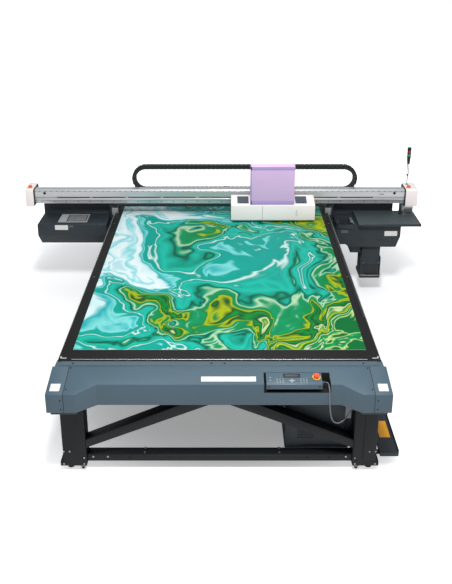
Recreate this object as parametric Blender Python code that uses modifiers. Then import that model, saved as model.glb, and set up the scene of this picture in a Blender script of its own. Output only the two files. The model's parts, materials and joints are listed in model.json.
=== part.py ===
"""A flatbed UV printer, modelled as its separate pieces, in metres with +Z up.

X runs to the operator's right, Y to the rear. The origin is on the floor, under the middle of the
machine. The gantry stands near the rear of the bed, with the print head in its middle.
"""

import math

import bmesh
import bpy
from mathutils import Matrix, Vector

# Overall sizes. The width is over the beam's caps and the depth over the two covers.
OVERALL_WIDTH = 4.100
OVERALL_DEPTH = 4.462
HALF_WIDTH = OVERALL_WIDTH / 2
HALF_DEPTH = OVERALL_DEPTH / 2
GAP = 0.0003  # between pieces that touch
SIDES = {"left": -1, "right": 1}

# Bed and the board that lies on it.
BED_TOP = 0.842
BED_THICKNESS = 0.042
BED_HALF_WIDTH = 1.135
BED_FRONT = 0.311 - HALF_DEPTH
BED_REAR = HALF_DEPTH - 0.491
BOARD_WIDTH = 2.100
BOARD_FRONT = BED_FRONT + 0.149
BOARD_REAR = BED_REAR - 0.411
BOARD_THICKNESS = 0.003

# Welded frame.
BEAM_HEIGHT = 0.140
BEAM_WIDTH = 0.140
BEAM_OUTER = 1.105
LEG_WIDTH = 0.1675
LEG_DEPTH = 0.120
LEG_OUTER = 1.1175
LEG_INNER = LEG_OUTER - LEG_WIDTH
LEG_FRONT = 0.201 - HALF_DEPTH
LEG_REAR = HALF_DEPTH - 0.361
TRAY_REAR = HALF_DEPTH - 0.171
FOOT_PLATE_LOW = 0.050
FOOT_PLATE_THICKNESS = 0.040
FOOT_PLATE_OVERHANG = 0.022
LEG_LAP = 0.010  # how far a leg runs down into its foot plate
LOWER_RAIL_LOW = 0.079
LOWER_RAIL_HEIGHT = 0.052
LOWER_RAIL_DEPTH = 0.086
BRACE_FACE = 0.062
BRACE_DEPTH = 0.090
BRACE_FOOT = 0.205
BRACE_CROWN = 0.35  # how much of a tie's width is flat under the beam

# Control cabinet.
CABINET_LEFT = 0.470
CABINET_RIGHT = LEG_INNER - 0.020
CABINET_DEPTH = 0.550
CABINET_LAP = 0.025  # how far the cabinet reaches under the front cross beam

# Castors and levelling feet.
WHEEL_RADIUS = 0.0200
WHEEL_WIDTH = 0.018
WHEEL_LIFT = 0.001
WHEEL_CLEARANCE = 0.0015
AXLE_RADIUS = 0.0030
AXLE_CLEARANCE = 0.0005
TREAD_ROUNDING = 0.003
FORK_CHEEK = 0.004
FORK_PLATE = 0.005
FORK_RADIUS = 0.026
CASTOR_X = LEG_INNER + 0.035
CASTOR_INSET = 0.028
CASTOR_TRAIL = 0.012
FOOT_X = LEG_OUTER - 0.0395
FOOT_INSET = 0.070
FOOT_PAD_RADIUS = 0.026
FOOT_PAD_HEIGHT = 0.014
FOOT_STEM_RADIUS = 0.008
FOOT_NUT_RADIUS = 0.016
FOOT_NUT_HEIGHT = 0.008

# Front and rear covers.
COVER_HALF_WIDTH = 1.152
COVER_LOW = BED_TOP - 0.197
COVER_WALL = 0.003
COVER_RIDGE_Y = 0.254  # from the top's edge to the corner ridge
COVER_RIDGE_DROP = 0.056
MIDDLE_RIDGE_Y = 0.166
MIDDLE_RIDGE_DROP = 0.037
MIDDLE_HALF_WIDTH = 0.824
TRANSITION_HALF_WIDTH = 0.955
CORNER_INNER = 1.035
STRIP_HALF_WIDTH = 1.1375
REAR_SLOPE = 0.060
REAR_COVER_TOP = BED_TOP - 0.045
REAR_COVER_BEND = BED_TOP - 0.152
REAR_COVER_RIDGE = BED_TOP - 0.192
REAR_COVER_LOW = BED_TOP - 0.322

# Operation panel in its pocket in the front cover.
PANEL_LEFT = 0.318
PANEL_RIGHT = 0.695
POCKET_LEFT = 0.302
POCKET_RIGHT = 0.752
PANEL_SETBACK = 0.060
PANEL_HEIGHT = 0.036
POCKET_DROP = 0.066
POCKET_MARGIN = 0.003
STAND_INSET = 0.060
STAND_HALF_WIDTH = 0.012
PANEL_STOP_X = 0.660
PANEL_STOP_BACK = 0.040
STOP_STEM_RADIUS = 0.0075
STOP_HOLE_RADIUS = 0.0085
CORD_RADIUS = 0.0042
GLAND_RADIUS = 0.0075
GLAND_LENGTH = 0.020
GLAND_BACK = 0.050
GLAND_DROP = 0.016
SOCKET_HALF = 0.012
SOCKET_LENGTH = 0.0497
SOCKET_X = LEG_INNER + 0.0253
SOCKET_MID = BED_TOP - 0.274
SOCKET_PROUD = 0.026

# Gantry.
RAIL_HEIGHT = 0.030
RAIL_DEPTH = 0.024
RAIL_MID = BED_TOP - 0.127
BEAM_FRONT = 0.881
BEAM_DEPTH = 0.170
BEAM_LOW = BED_TOP + 0.122
BEAM_TOP = BEAM_LOW + 0.156
BEAM_SHELF = BEAM_TOP - 0.060  # the step behind the beam's top, where the chains lie
BEAM_RIDGE = 0.089  # how deep the beam's top is, in front of that step
BEAM_LIP = 0.004  # how far the beam's guide band stands out of its front
CAP_WIDTHS = {"left": 0.085, "right": 0.125}
CAP_WALL = 0.004
CAP_LOW = BEAM_LOW - 0.027
CAP_TOP = BEAM_TOP + 0.008
CAP_FRONT = BEAM_FRONT - 0.013
CAP_REAR = BEAM_FRONT + 0.204
CAP_ROUNDING = 0.020
TRUCK_INNER = 1.1365
TRUCK_WIDTH = 0.046
TRUCK_FRONT = BEAM_FRONT + 0.049
TRUCK_REAR = BEAM_FRONT + 0.379
SHOE_HEIGHT = 0.020
SHOE_CLEARANCE = 0.0015
BACK_PLATE_THICKNESS = 0.012
BACK_PLATE_LAP = 0.060

# Side units under the beam.
UNIT_TOP = BED_TOP - 0.032
UNIT_FRONT = BEAM_FRONT - 0.200
UNIT_REAR = BEAM_FRONT + 0.139
UNIT_WALL = 0.004
UNIT_INNER = 1.190
LEFT_UNIT_OUTER = HALF_WIDTH - 0.150
LEFT_UNIT_LOW = UNIT_TOP - 0.232
LEFT_CHAMFER_HEIGHT = 0.112
LEFT_CHAMFER_DEPTH = 0.070
LEFT_CHAMFER_WIDTH = 0.019
RIGHT_UNIT_OUTER = HALF_WIDTH - 0.197
RIGHT_UNIT_LOW = UNIT_TOP - 0.250
RIGHT_UNIT_STEP = 0.030
RIGHT_CHAMFER_WIDTH = 0.043
RIGHT_CHAMFER_HEIGHT = 0.120
RIGHT_PLATE_END = RIGHT_UNIT_OUTER - 0.023
SHELF_TOP = UNIT_TOP + 0.028
SHELF_FRONT = UNIT_FRONT - 0.063
SHELF_INNER = 1.400
SHELF_OUTER = HALF_WIDTH - 0.004
CAP_RECESS_LEFT = 1.222
CAP_RECESS_RIGHT = 1.340
CAP_RECESS_FRONT = UNIT_FRONT + 0.019
CAP_RECESS_REAR = UNIT_FRONT + 0.199
CAP_RECESS_DEPTH = 0.160
CAP_TRAY_TOP = UNIT_TOP - 0.032
CAP_TRAY_HEIGHT = 0.040
CAP_TRAY_CLEARANCE = 0.004
CAP_TRAY_LIP = 0.012
TANK_LEFT = 1.472
TANK_RIGHT = 1.662
TANK_HEIGHT = 0.345
TANK_BASE_HEIGHT = 0.025
TANK_RIM = 0.012  # how far the tray under the tank stands out of it
SUMP_LEFT = 1.320
SUMP_DEPTH = 0.090

# Carriage.
CARRIAGE_LEFT = 0.098
CARRIAGE_RIGHT = 0.954
CARRIAGE_FRONT = BEAM_FRONT - 0.232
CARRIAGE_LOW = BED_TOP + 0.020
CARRIAGE_SKIRT = 0.012  # how far the cover stays above the head's underside
CARRIAGE_SHOULDER = CARRIAGE_LOW + 0.169
CARRIAGE_TOP = CARRIAGE_LOW + 0.217
CARRIAGE_WALL = 0.004
HEAD_HEIGHT = 0.060
SLIDER_GAP = 0.004
SLIDER_THICKNESS = 0.030
HOOD_LEFT = 0.296
HOOD_RIGHT = 0.741
HOOD_FRONT = CARRIAGE_FRONT + 0.011
HOOD_TOP = CARRIAGE_TOP + 0.383
HOOD_CROWN = 0.080  # how deep the hood's top is, before it falls to the rear
HOOD_FALL = 0.060
HOOD_CHAMFER = 0.020

# Cable chains.
CHAIN_WIDTH = 0.060
CHAIN_THICKNESS = 0.045
Y_CHAIN_TOP = BEAM_TOP + 0.235
Y_CHAIN_INNER = 0.080  # from the carriage's middle to where each upper run starts
LEFT_BEND_END = -0.943
RIGHT_BEND_END = 1.428
TRAY_LEFT = 1.160
TRAY_RIGHT = 1.295
TRAY_TOP = 0.115
TRAY_HEIGHT = 0.030
TRAY_WALL = 0.003
TRAY_FRONT = LEG_FRONT + 0.060
X_CHAIN_LEFT = TRAY_LEFT + 0.035
X_CHAIN_RIGHT = TRAY_RIGHT - 0.040
X_CHAIN_LOOP = 0.200
X_CHAIN_FIXED_Y = LEG_FRONT + 1.380
X_BEND_Y = TRAY_REAR - 0.460

# On the caps: the stop buttons and the signal tower.
CAP_STOP_X = {"left": 0.044 - HALF_WIDTH, "right": HALF_WIDTH - 0.090}
CAP_STOP_Y = BEAM_FRONT + 0.049
TOWER_X = HALF_WIDTH - 0.088
TOWER_Y = BEAM_FRONT + 0.139
TOWER_HEIGHT = 0.411


def make_collection(name, hidden=False):
    collection = bpy.data.collections.new(name)
    collection.hide_render = hidden
    bpy.context.scene.collection.children.link(collection)
    return collection


for leftover in list(bpy.data.objects):
    bpy.data.objects.remove(leftover, do_unlink=True)
PARTS = make_collection("flatbed_uv_printer")
CUTTERS = make_collection("cutters", hidden=True)


def make_finish(name, colour, roughness, metallic=0.0):
    material = bpy.data.materials.new(name)
    material.use_nodes = True
    shader = material.node_tree.nodes["Principled BSDF"]
    shader.inputs["Base Color"].default_value = (*colour, 1.0)
    shader.inputs["Roughness"].default_value = roughness
    shader.inputs["Metallic"].default_value = metallic
    material.diffuse_color = (*colour, 1.0)
    return material


FRAME_PAINT = make_finish("frame_paint", (0.035, 0.038, 0.040), 0.55)
COVER_PAINT = make_finish("cover_paint", (0.10, 0.14, 0.17), 0.50)
UNIT_PAINT = make_finish("unit_paint", (0.04, 0.045, 0.05), 0.55)
ALUMINIUM = make_finish("aluminium", (0.60, 0.60, 0.60), 0.35, 1.0)
BED_COAT = make_finish("bed_coat", (0.045, 0.045, 0.045), 0.60)
WHITE_PLASTIC = make_finish("white_plastic", (0.75, 0.75, 0.76), 0.45)
HOOD_PLASTIC = make_finish("hood_plastic", (0.55, 0.45, 0.68), 0.45)
BLACK_PLASTIC = make_finish("black_plastic", (0.010, 0.011, 0.012), 0.50)
BOARD_PRINT = make_finish("board_print", (0.03, 0.45, 0.38), 0.25)
RED_PLASTIC = make_finish("red_plastic", (0.80, 0.07, 0.03), 0.40)
STEEL = make_finish("steel", (0.55, 0.55, 0.55), 0.35, 1.0)
RUBBER = make_finish("rubber", (0.012, 0.012, 0.012), 0.80)


def place(name, mesh, finish, location=(0, 0, 0)):
    piece = bpy.data.objects.new(name, mesh)
    piece.location = location
    (PARTS if finish else CUTTERS).objects.link(piece)
    if finish:
        mesh.materials.append(finish)
    else:
        piece.hide_render = True
        piece.display_type = "WIRE"
    return piece


def block(name, low, high, finish=None, rounding=0.0):
    """A box between two corners, with its edges rounded where rounding is given."""
    low, high = Vector(low), Vector(high)
    shape = bmesh.new()
    bmesh.ops.create_cube(shape, size=1.0)
    bmesh.ops.scale(shape, vec=high - low, verts=shape.verts)
    mesh = bpy.data.meshes.new(name)
    shape.to_mesh(mesh)
    shape.free()
    piece = place(name, mesh, finish, (low + high) / 2)
    if rounding:
        soften(piece, rounding)
    return piece


def soften(piece, rounding, segments=2, angle=40):
    edge = piece.modifiers.new("rounding", "BEVEL")
    edge.width = rounding
    edge.segments = segments
    edge.limit_method = "ANGLE"
    edge.angle_limit = math.radians(angle)
    return piece


PLANES = {
    "X": Matrix(((0, 0, 1), (1, 0, 0), (0, 1, 0))),  # outline in (Y, Z)
    "Y": Matrix(((1, 0, 0), (0, 0, -1), (0, 1, 0))),  # outline in (X, Z)
    "Z": Matrix(((1, 0, 0), (0, 1, 0), (0, 0, 1))),  # outline in (X, Y)
}


def extrusion(name, outline, along, start, end, finish=None):
    """A flat outline given in the plane across an axis, drawn out along it from start to end."""
    curve = bpy.data.curves.new(name, "CURVE")
    curve.dimensions = "2D"
    curve.fill_mode = "BOTH"
    curve.extrude = abs(end - start) / 2
    spline = curve.splines.new("POLY")
    spline.points.add(len(outline) - 1)
    for point, corner in zip(spline.points, outline):
        point.co = (*corner, 0.0, 1.0)
    spline.use_cyclic_u = True
    drawn = bpy.data.objects.new(name + "_outline", curve)
    CUTTERS.objects.link(drawn)
    bpy.context.view_layer.update()
    mesh = bpy.data.meshes.new_from_object(drawn.evaluated_get(bpy.context.evaluated_depsgraph_get()))
    bpy.data.objects.remove(drawn, do_unlink=True)
    shape = bmesh.new()
    shape.from_mesh(mesh)
    bmesh.ops.remove_doubles(shape, verts=shape.verts, dist=0.00001)
    bmesh.ops.recalc_face_normals(shape, faces=shape.faces)
    shape.to_mesh(mesh)
    shape.free()
    mesh.name = name
    mesh.materials.clear()
    piece = place(name, mesh, finish)
    centre = Vector({"X": (1, 0, 0), "Y": (0, 1, 0), "Z": (0, 0, 1)}[along]) * (start + end) / 2
    piece.matrix_world = Matrix.Translation(centre) @ PLANES[along].to_4x4()
    return piece


def turned(name, profile, centre, finish=None, axis="Z", steps=24):
    """A profile of (radius, height) points, top to bottom, turned about an axis through centre."""
    mesh = bpy.data.meshes.new(name)
    points = [(radius, 0.0, height) for radius, height in profile]
    mesh.from_pydata(points, [(i, i + 1) for i in range(len(points) - 1)], [])
    piece = place(name, mesh, finish, centre)
    turn = {"Z": (0, 0, 0), "X": (0, math.pi / 2, 0), "Y": (-math.pi / 2, 0, 0)}
    piece.rotation_euler = turn[axis]
    screw = piece.modifiers.new("turn", "SCREW")
    screw.steps = steps
    screw.render_steps = steps
    screw.merge_threshold = 0.00001
    screw.use_merge_vertices = True
    return piece


def cylinder(name, radius, low, high, centre, finish=None, axis="Z", steps=24):
    """A round bar about an axis through centre, from low to high along that axis."""
    profile = ((0, high), (radius, high), (radius, low), (0, low))
    return turned(name, profile, centre, finish, axis, steps)


def combine(piece, other, operation):
    step = piece.modifiers.new(operation.lower(), "BOOLEAN")
    step.operation = operation
    step.solver = "EXACT"
    step.object = other
    return piece


def cut(piece, *others):
    for other in others:
        combine(piece, other, "DIFFERENCE")
    return piece


def join(piece, *others):
    for other in others:
        combine(piece, other, "UNION")
    return piece


def span(side, inner, outer):
    """The low and the high X of a piece that lies between inner and outer on that side."""
    return (inner, outer) if side > 0 else (-outer, -inner)


BED_LOW = BED_TOP - BED_THICKNESS
BEAM_HIGH = BED_LOW - GAP
BEAM_BOTTOM = BEAM_HIGH - BEAM_HEIGHT
LEG_TOP = BEAM_BOTTOM - GAP
LEG_LOW = FOOT_PLATE_LOW + FOOT_PLATE_THICKNESS
BEAM_INNER = BEAM_OUTER - BEAM_WIDTH
LEG_PLACES = {"front": (LEG_FRONT, LEG_FRONT + LEG_DEPTH), "rear": (LEG_REAR - LEG_DEPTH, LEG_REAR)}


def side_beams():
    for name, side in SIDES.items():
        x = span(side, BEAM_INNER, BEAM_OUTER)
        block(f"side_beam_{name}", (x[0], LEG_FRONT, BEAM_BOTTOM), (x[1], LEG_REAR, BEAM_HIGH), FRAME_PAINT)


def cross_beams():
    reach = BEAM_INNER - GAP
    for end, (near, far) in LEG_PLACES.items():
        block(f"{end}_cross_beam", (-reach, near, BEAM_BOTTOM), (reach, far, BEAM_HIGH), FRAME_PAINT)


def legs():
    for end, (near, far) in LEG_PLACES.items():
        for name, side in SIDES.items():
            x = span(side, LEG_INNER, LEG_OUTER)
            low = (x[0], near, LEG_LOW - LEG_LAP)
            leg = block(f"{end}_leg_{name}", low, (x[1], far, LEG_TOP), FRAME_PAINT)
            x = span(side, LEG_INNER, LEG_OUTER + FOOT_PLATE_OVERHANG)
            plate = block(f"{end}_foot_plate_{name}", (x[0], near, FOOT_PLATE_LOW), (x[1], far, LEG_LOW))
            join(leg, plate)
            if (end, name) == ("front", "right"):
                join(leg, cord_socket())


def lower_rail():
    """The bar between the front legs, just above the floor."""
    reach = LEG_INNER - GAP
    near = LEG_FRONT + (LEG_DEPTH - LOWER_RAIL_DEPTH) / 2
    high = LOWER_RAIL_LOW + LOWER_RAIL_HEIGHT
    low_corner = (-reach, near, LOWER_RAIL_LOW)
    block("front_lower_rail", low_corner, (reach, near + LOWER_RAIL_DEPTH, high), FRAME_PAINT)


def front_brace():
    """Two slanted ties, welded where they meet under the middle, that run down to the front legs."""
    top = BEAM_BOTTOM - GAP
    foot_x = LEG_INNER - GAP
    rise = (top - BRACE_FOOT - BRACE_FACE) / foot_x
    tall = BRACE_FACE * math.hypot(1, rise)
    right = [
        (0, top - tall),
        (foot_x, BRACE_FOOT),
        (foot_x, BRACE_FOOT + tall),
        (tall / rise * BRACE_CROWN, top),
    ]
    outline = [*right, *[(-x, z) for x, z in reversed(right[1:])]]
    extrusion("front_brace", outline, "Y", LEG_FRONT, LEG_FRONT + BRACE_DEPTH, FRAME_PAINT)


def castors():
    """A swivelling fork and a wheel under each leg, both just clear of the floor."""
    plate_high = FOOT_PLATE_LOW - GAP
    axle = WHEEL_LIFT + WHEEL_RADIUS
    for end, (near, far) in LEG_PLACES.items():
        y = near + CASTOR_INSET if end == "front" else far - CASTOR_INSET
        for name, side in SIDES.items():
            x = side * CASTOR_X
            back = y + CASTOR_TRAIL
            fork_low = plate_high - FORK_PLATE
            fork = cylinder(
                f"{end}_castor_fork_{name}", FORK_RADIUS, fork_low, plate_high, (x, y, 0), FRAME_PAINT
            )
            inner = WHEEL_WIDTH / 2 + WHEEL_CLEARANCE
            for at in (-1, 1):
                cheek = block(
                    f"{end}_cheek_{name}_{at}",
                    (x + min(at * inner, at * (inner + FORK_CHEEK)), back - 0.010, axle - 0.008),
                    (x + max(at * inner, at * (inner + FORK_CHEEK)), back + 0.010, plate_high - 0.002),
                )
                join(fork, cheek)
            hole = AXLE_RADIUS + AXLE_CLEARANCE
            centre = (x, back, axle)
            cut(fork, cylinder(f"{end}_axle_hole_{name}", hole, -0.03, 0.03, centre, None, "X", 12))
            half = WHEEL_WIDTH / 2
            axle_half = inner + FORK_CHEEK
            profile = (
                (0, axle_half),
                (AXLE_RADIUS, axle_half),
                (AXLE_RADIUS, half),
                (WHEEL_RADIUS - TREAD_ROUNDING, half),
                (WHEEL_RADIUS, half - TREAD_ROUNDING),
                (WHEEL_RADIUS, TREAD_ROUNDING - half),
                (WHEEL_RADIUS - TREAD_ROUNDING, -half),
                (AXLE_RADIUS, -half),
                (AXLE_RADIUS, -axle_half),
                (0, -axle_half),
            )
            turned(f"{end}_castor_wheel_{name}", profile, centre, RUBBER, "X", 24)


def levelling_feet():
    """A round pad on a stem under each leg, outside the castor. They carry the machine."""
    top = FOOT_PLATE_LOW - GAP
    profile = (
        (0, top),
        (FOOT_NUT_RADIUS, top),
        (FOOT_NUT_RADIUS, top - FOOT_NUT_HEIGHT),
        (FOOT_STEM_RADIUS, top - FOOT_NUT_HEIGHT),
        (FOOT_STEM_RADIUS, FOOT_PAD_HEIGHT + 0.004),
        (FOOT_PAD_RADIUS, FOOT_PAD_HEIGHT),
        (FOOT_PAD_RADIUS, 0),
        (0, 0),
    )
    for end, (near, far) in LEG_PLACES.items():
        y = near + FOOT_INSET if end == "front" else far - FOOT_INSET
        for name, side in SIDES.items():
            turned(f"{end}_levelling_foot_{name}", profile, (side * FOOT_X, y, 0), BLACK_PLASTIC, "Z", 20)


def bed():
    block(
        "vacuum_bed", (-BED_HALF_WIDTH, BED_FRONT, BED_LOW), (BED_HALF_WIDTH, BED_REAR, BED_TOP), BED_COAT
    )
    half = BOARD_WIDTH / 2
    low = BED_TOP + GAP
    block(
        "sample_board",
        (-half, BOARD_FRONT, low),
        (half, BOARD_REAR, low + BOARD_THICKNESS),
        BOARD_PRINT,
    )


def linear_rails():
    """The guide rails that the gantry's trucks run on, along the outsides of the side beams."""
    for name, side in SIDES.items():
        x = span(side, BEAM_OUTER + GAP, BEAM_OUTER + RAIL_DEPTH)
        low = (x[0], TRAY_FRONT, RAIL_MID - RAIL_HEIGHT / 2)
        block(f"linear_rail_{name}", low, (x[1], LEG_REAR, RAIL_MID + RAIL_HEIGHT / 2), STEEL)


COVER_EDGE_Y = BED_FRONT - GAP
RIDGE_Y = -HALF_DEPTH
TOP_EDGE_Y = RIDGE_Y + COVER_RIDGE_Y
RIDGE_Z = BED_TOP - COVER_RIDGE_DROP


def cover_profile(ridge_y, ridge_z, wall=0.0):
    """The outline in (Y, Z) of a cover's shell, or of the space inside it where wall is given."""
    lower = COVER_LOW - wall * 4
    return [
        (COVER_EDGE_Y + wall * 4, BED_TOP - wall),
        (TOP_EDGE_Y, BED_TOP - wall),
        (ridge_y + wall, ridge_z - wall),
        (ridge_y + wall, lower),
        (COVER_EDGE_Y + wall * 4, lower),
    ]


def front_cover():
    """One folded sheet across the front, stepped back in the middle, with the panel's pocket."""
    middle_y = TOP_EDGE_Y - MIDDLE_RIDGE_Y
    middle_z = BED_TOP - MIDDLE_RIDGE_DROP
    reach = CORNER_INNER - GAP
    cover = extrusion(
        "front_cover", cover_profile(RIDGE_Y, RIDGE_Z), "X", -reach, reach, COVER_PAINT
    )
    step = [
        (-TRANSITION_HALF_WIDTH, RIDGE_Y - 0.01),
        (TRANSITION_HALF_WIDTH, RIDGE_Y - 0.01),
        (TRANSITION_HALF_WIDTH, RIDGE_Y),
        (MIDDLE_HALF_WIDTH, middle_y),
        (-MIDDLE_HALF_WIDTH, middle_y),
        (-TRANSITION_HALF_WIDTH, RIDGE_Y),
    ]
    cut(cover, extrusion("cover_step", step, "Z", COVER_LOW - 0.05, BED_TOP + 0.05))
    inner = reach + 0.05
    hollow = extrusion(
        "cover_hollow",
        cover_profile(middle_y, middle_z, COVER_WALL),
        "X",
        -inner,
        inner,
    )
    cut(cover, hollow)
    for side in SIDES.values():
        ends = span(side, TRANSITION_HALF_WIDTH + 0.004, inner)
        cut(
            cover,
            extrusion(
                f"cover_end_hollow_{side}", cover_profile(RIDGE_Y, RIDGE_Z, COVER_WALL), "X", *ends
            ),
        )
    rear = TOP_EDGE_Y - PANEL_SETBACK + POCKET_MARGIN
    floor = middle_z - POCKET_DROP
    pocket = block("panel_pocket", (POCKET_LEFT, RIDGE_Y, floor), (POCKET_RIGHT, rear, BED_TOP + 0.05))
    tub = block(
        "pocket_tub",
        (POCKET_LEFT - COVER_WALL, middle_y + 0.0005, floor - COVER_WALL),
        (POCKET_RIGHT + COVER_WALL, rear + COVER_WALL, middle_z + 0.0005),
    )
    join(cover, tub)
    cut(cover, pocket)


def corner_covers():
    for name, side in SIDES.items():
        ends = span(side, CORNER_INNER, COVER_HALF_WIDTH)
        corner = extrusion(
            f"corner_cover_{name}", cover_profile(RIDGE_Y, RIDGE_Z), "X", *ends, COVER_PAINT
        )
        notch = corner_notch(f"corner_notch_{name}", side, 0.0)
        ends = span(side, CORNER_INNER - 0.05, COVER_HALF_WIDTH - COVER_WALL)
        hollow = extrusion(f"corner_hollow_{name}", cover_profile(RIDGE_Y, RIDGE_Z, COVER_WALL), "X", *ends)
        cut(hollow, corner_notch(f"corner_hollow_notch_{name}", side, COVER_WALL))
        cut(corner, notch, hollow)


def corner_notch(name, side, wall):
    """The piece left out of a corner cover beside the bed's front edge."""
    x = span(side, STRIP_HALF_WIDTH - wall, COVER_HALF_WIDTH + 0.02)
    y = TOP_EDGE_Y - 0.002 - wall
    return block(name, (x[0], y, COVER_LOW - 0.2), (x[1], COVER_EDGE_Y + 0.05, BED_TOP + 0.1))


def rear_cover():
    """The sloping folded sheet behind the rear legs, up to the machine's greatest depth."""
    rear = HALF_DEPTH
    near = LEG_REAR + GAP
    cover = extrusion(
        "rear_cover",
        [
            (near, REAR_COVER_TOP),
            (rear - REAR_SLOPE, REAR_COVER_BEND),
            (rear, REAR_COVER_RIDGE),
            (rear, REAR_COVER_LOW),
            (near, REAR_COVER_LOW),
        ],
        "X",
        -COVER_HALF_WIDTH,
        COVER_HALF_WIDTH,
        COVER_PAINT,
    )
    wall = COVER_WALL
    reach = COVER_HALF_WIDTH - wall
    fall = (REAR_COVER_TOP - REAR_COVER_BEND) / (rear - REAR_SLOPE - near)
    hollow = [
        (near - 0.05, REAR_COVER_TOP - wall + 0.05 * fall),
        (rear - REAR_SLOPE - wall, REAR_COVER_BEND - wall + wall * fall),
        (rear - wall, REAR_COVER_RIDGE - wall),
        (rear - wall, REAR_COVER_LOW - 0.05),
        (near - 0.05, REAR_COVER_LOW - 0.05),
    ]
    cut(cover, extrusion("rear_hollow", hollow, "X", -reach, reach))


PANEL_SLOPE = math.atan2(MIDDLE_RIDGE_DROP, MIDDLE_RIDGE_Y)
PANEL_REAR = TOP_EDGE_Y - PANEL_SETBACK
PANEL_FRONT = TOP_EDGE_Y - MIDDLE_RIDGE_Y
STAND_REAR = PANEL_REAR - 0.030
STAND_FRONT = PANEL_REAR - 0.060


def panel_top(y):
    """The height of the panel's sloping face at that Y: it continues the cover's slope."""
    return BED_TOP - (TOP_EDGE_Y - y) * math.tan(PANEL_SLOPE)


def operation_panel():
    """The sloping panel on two stands in its pocket, with the gland that its cord comes out of."""
    top_rear, top_front = panel_top(PANEL_REAR), panel_top(PANEL_FRONT)
    outline = [
        (PANEL_REAR, top_rear),
        (PANEL_FRONT, top_front),
        (PANEL_FRONT, top_front - PANEL_HEIGHT),
        (PANEL_REAR, top_rear - PANEL_HEIGHT),
    ]
    panel = extrusion("operation_panel", outline, "X", PANEL_LEFT, PANEL_RIGHT, BLACK_PLASTIC)
    floor = BED_TOP - MIDDLE_RIDGE_DROP - POCKET_DROP
    for x in (PANEL_LEFT + STAND_INSET, PANEL_RIGHT - STAND_INSET):
        stand_top = panel_top(STAND_REAR) - PANEL_HEIGHT + 0.004
        stand = block(
            f"panel_stand_{x:.2f}",
            (x - STAND_HALF_WIDTH, STAND_FRONT, floor + GAP),
            (x + STAND_HALF_WIDTH, STAND_REAR, stand_top),
        )
        join(panel, stand)
    gland_centre = (PANEL_RIGHT, PANEL_FRONT + GLAND_BACK, top_front - GLAND_DROP)
    join(panel, cylinder("panel_gland", GLAND_RADIUS, -0.002, GLAND_LENGTH, gland_centre, None, "X", 16))
    stop_y = PANEL_REAR - PANEL_STOP_BACK
    centre = (PANEL_STOP_X, stop_y, panel_top(stop_y))
    hole = cylinder("panel_stop_hole", STOP_HOLE_RADIUS, -0.06, 0.03, centre, None, "Z", 20)
    hole.rotation_euler.x = PANEL_SLOPE
    cut(panel, hole)
    stop = emergency_stop("panel_emergency_stop", centre, 0.0215, 0.006, 0.018)
    stop.rotation_euler.x = PANEL_SLOPE


def emergency_stop(name, centre, radius, standoff, depth):
    """A mushroom push button whose stem runs in a round hole, standing clear of its panel."""
    profile = (
        (0, standoff + 0.020),
        (radius * 0.70, standoff + 0.018),
        (radius, standoff + 0.010),
        (radius, standoff + 0.003),
        (radius * 0.80, standoff),
        (STOP_STEM_RADIUS, standoff),
        (STOP_STEM_RADIUS, -depth),
        (0, -depth),
    )
    return turned(name, profile, centre, RED_PLASTIC, "Z", 24)


def through(points, steps):
    """Points along a smooth curve that passes through all the points given."""
    ends = [points[0] * 2 - points[1], *points, points[-1] * 2 - points[-2]]
    found = []
    for i in range(1, len(ends) - 2):
        a, b, c, d = ends[i - 1 : i + 3]
        for step in range(steps):
            t = step / steps
            bend, twist = 2 * a - 5 * b + 4 * c - d, 3 * b - a - 3 * c + d
            found.append(0.5 * (2 * b + (c - a) * t + bend * t**2 + twist * t**3))
    return [*found, points[-1]]


# The panel's cord: out of the gland, over the edge of the pocket, down in a loop and up again.
CORD_ROUTE = [
    (0.7153, -2.0930, 0.7890),
    (0.7203, -2.0930, 0.7890),
    (0.7253, -2.0930, 0.7890),
    (0.7370, -2.1040, 0.7890),
    (0.7400, -2.1300, 0.7880),
    (0.7405, -2.1530, 0.7790),
    (0.7420, -2.1610, 0.7500),
    (0.7470, -2.1600, 0.6700),
    (0.7560, -2.1500, 0.5850),
    (0.7760, -2.1350, 0.5150),
    (0.8080, -2.1150, 0.4800),
    (0.8430, -2.0950, 0.4750),
    (0.8790, -2.0740, 0.4950),
    (0.9100, -2.0560, 0.5300),
    (0.9330, -2.0460, 0.5600),
    (0.9550, -2.0440, 0.5680),
    (0.9650, -2.0440, 0.5680),
    (0.9750, -2.0440, 0.5680),
]


def panel_cord():
    curve = bpy.data.curves.new("panel_cord", "CURVE")
    curve.dimensions = "3D"
    curve.bevel_depth = CORD_RADIUS
    curve.bevel_resolution = 2
    curve.use_fill_caps = True
    points = through([Vector(point) for point in CORD_ROUTE], 4)
    spline = curve.splines.new("POLY")
    spline.points.add(len(points) - 1)
    for point, at in zip(spline.points, points):
        point.co = (*at, 1.0)
    cord = bpy.data.objects.new("panel_cord", curve)
    curve.materials.append(BLACK_PLASTIC)
    PARTS.objects.link(cord)


def cord_socket():
    """The connector on the front of the right leg that the panel's cord goes into."""
    low = (SOCKET_X, LEG_FRONT - SOCKET_PROUD, SOCKET_MID - SOCKET_HALF)
    high = (SOCKET_X + SOCKET_LENGTH, LEG_FRONT + LEG_LAP, SOCKET_MID + SOCKET_HALF)
    return block("cord_socket", low, high)


def control_cabinet():
    """The cabinet under the right half. It hangs from the cross beam and stands on the lower rail."""
    near = LEG_FRONT + LEG_DEPTH - CABINET_LAP
    low = LOWER_RAIL_LOW + LOWER_RAIL_HEIGHT + GAP
    cabinet = block(
        "control_cabinet",
        (CABINET_LEFT, near, low),
        (CABINET_RIGHT, near + CABINET_DEPTH, BEAM_BOTTOM - GAP),
        UNIT_PAINT,
    )
    soften(cabinet, 0.004, 1)


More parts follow.
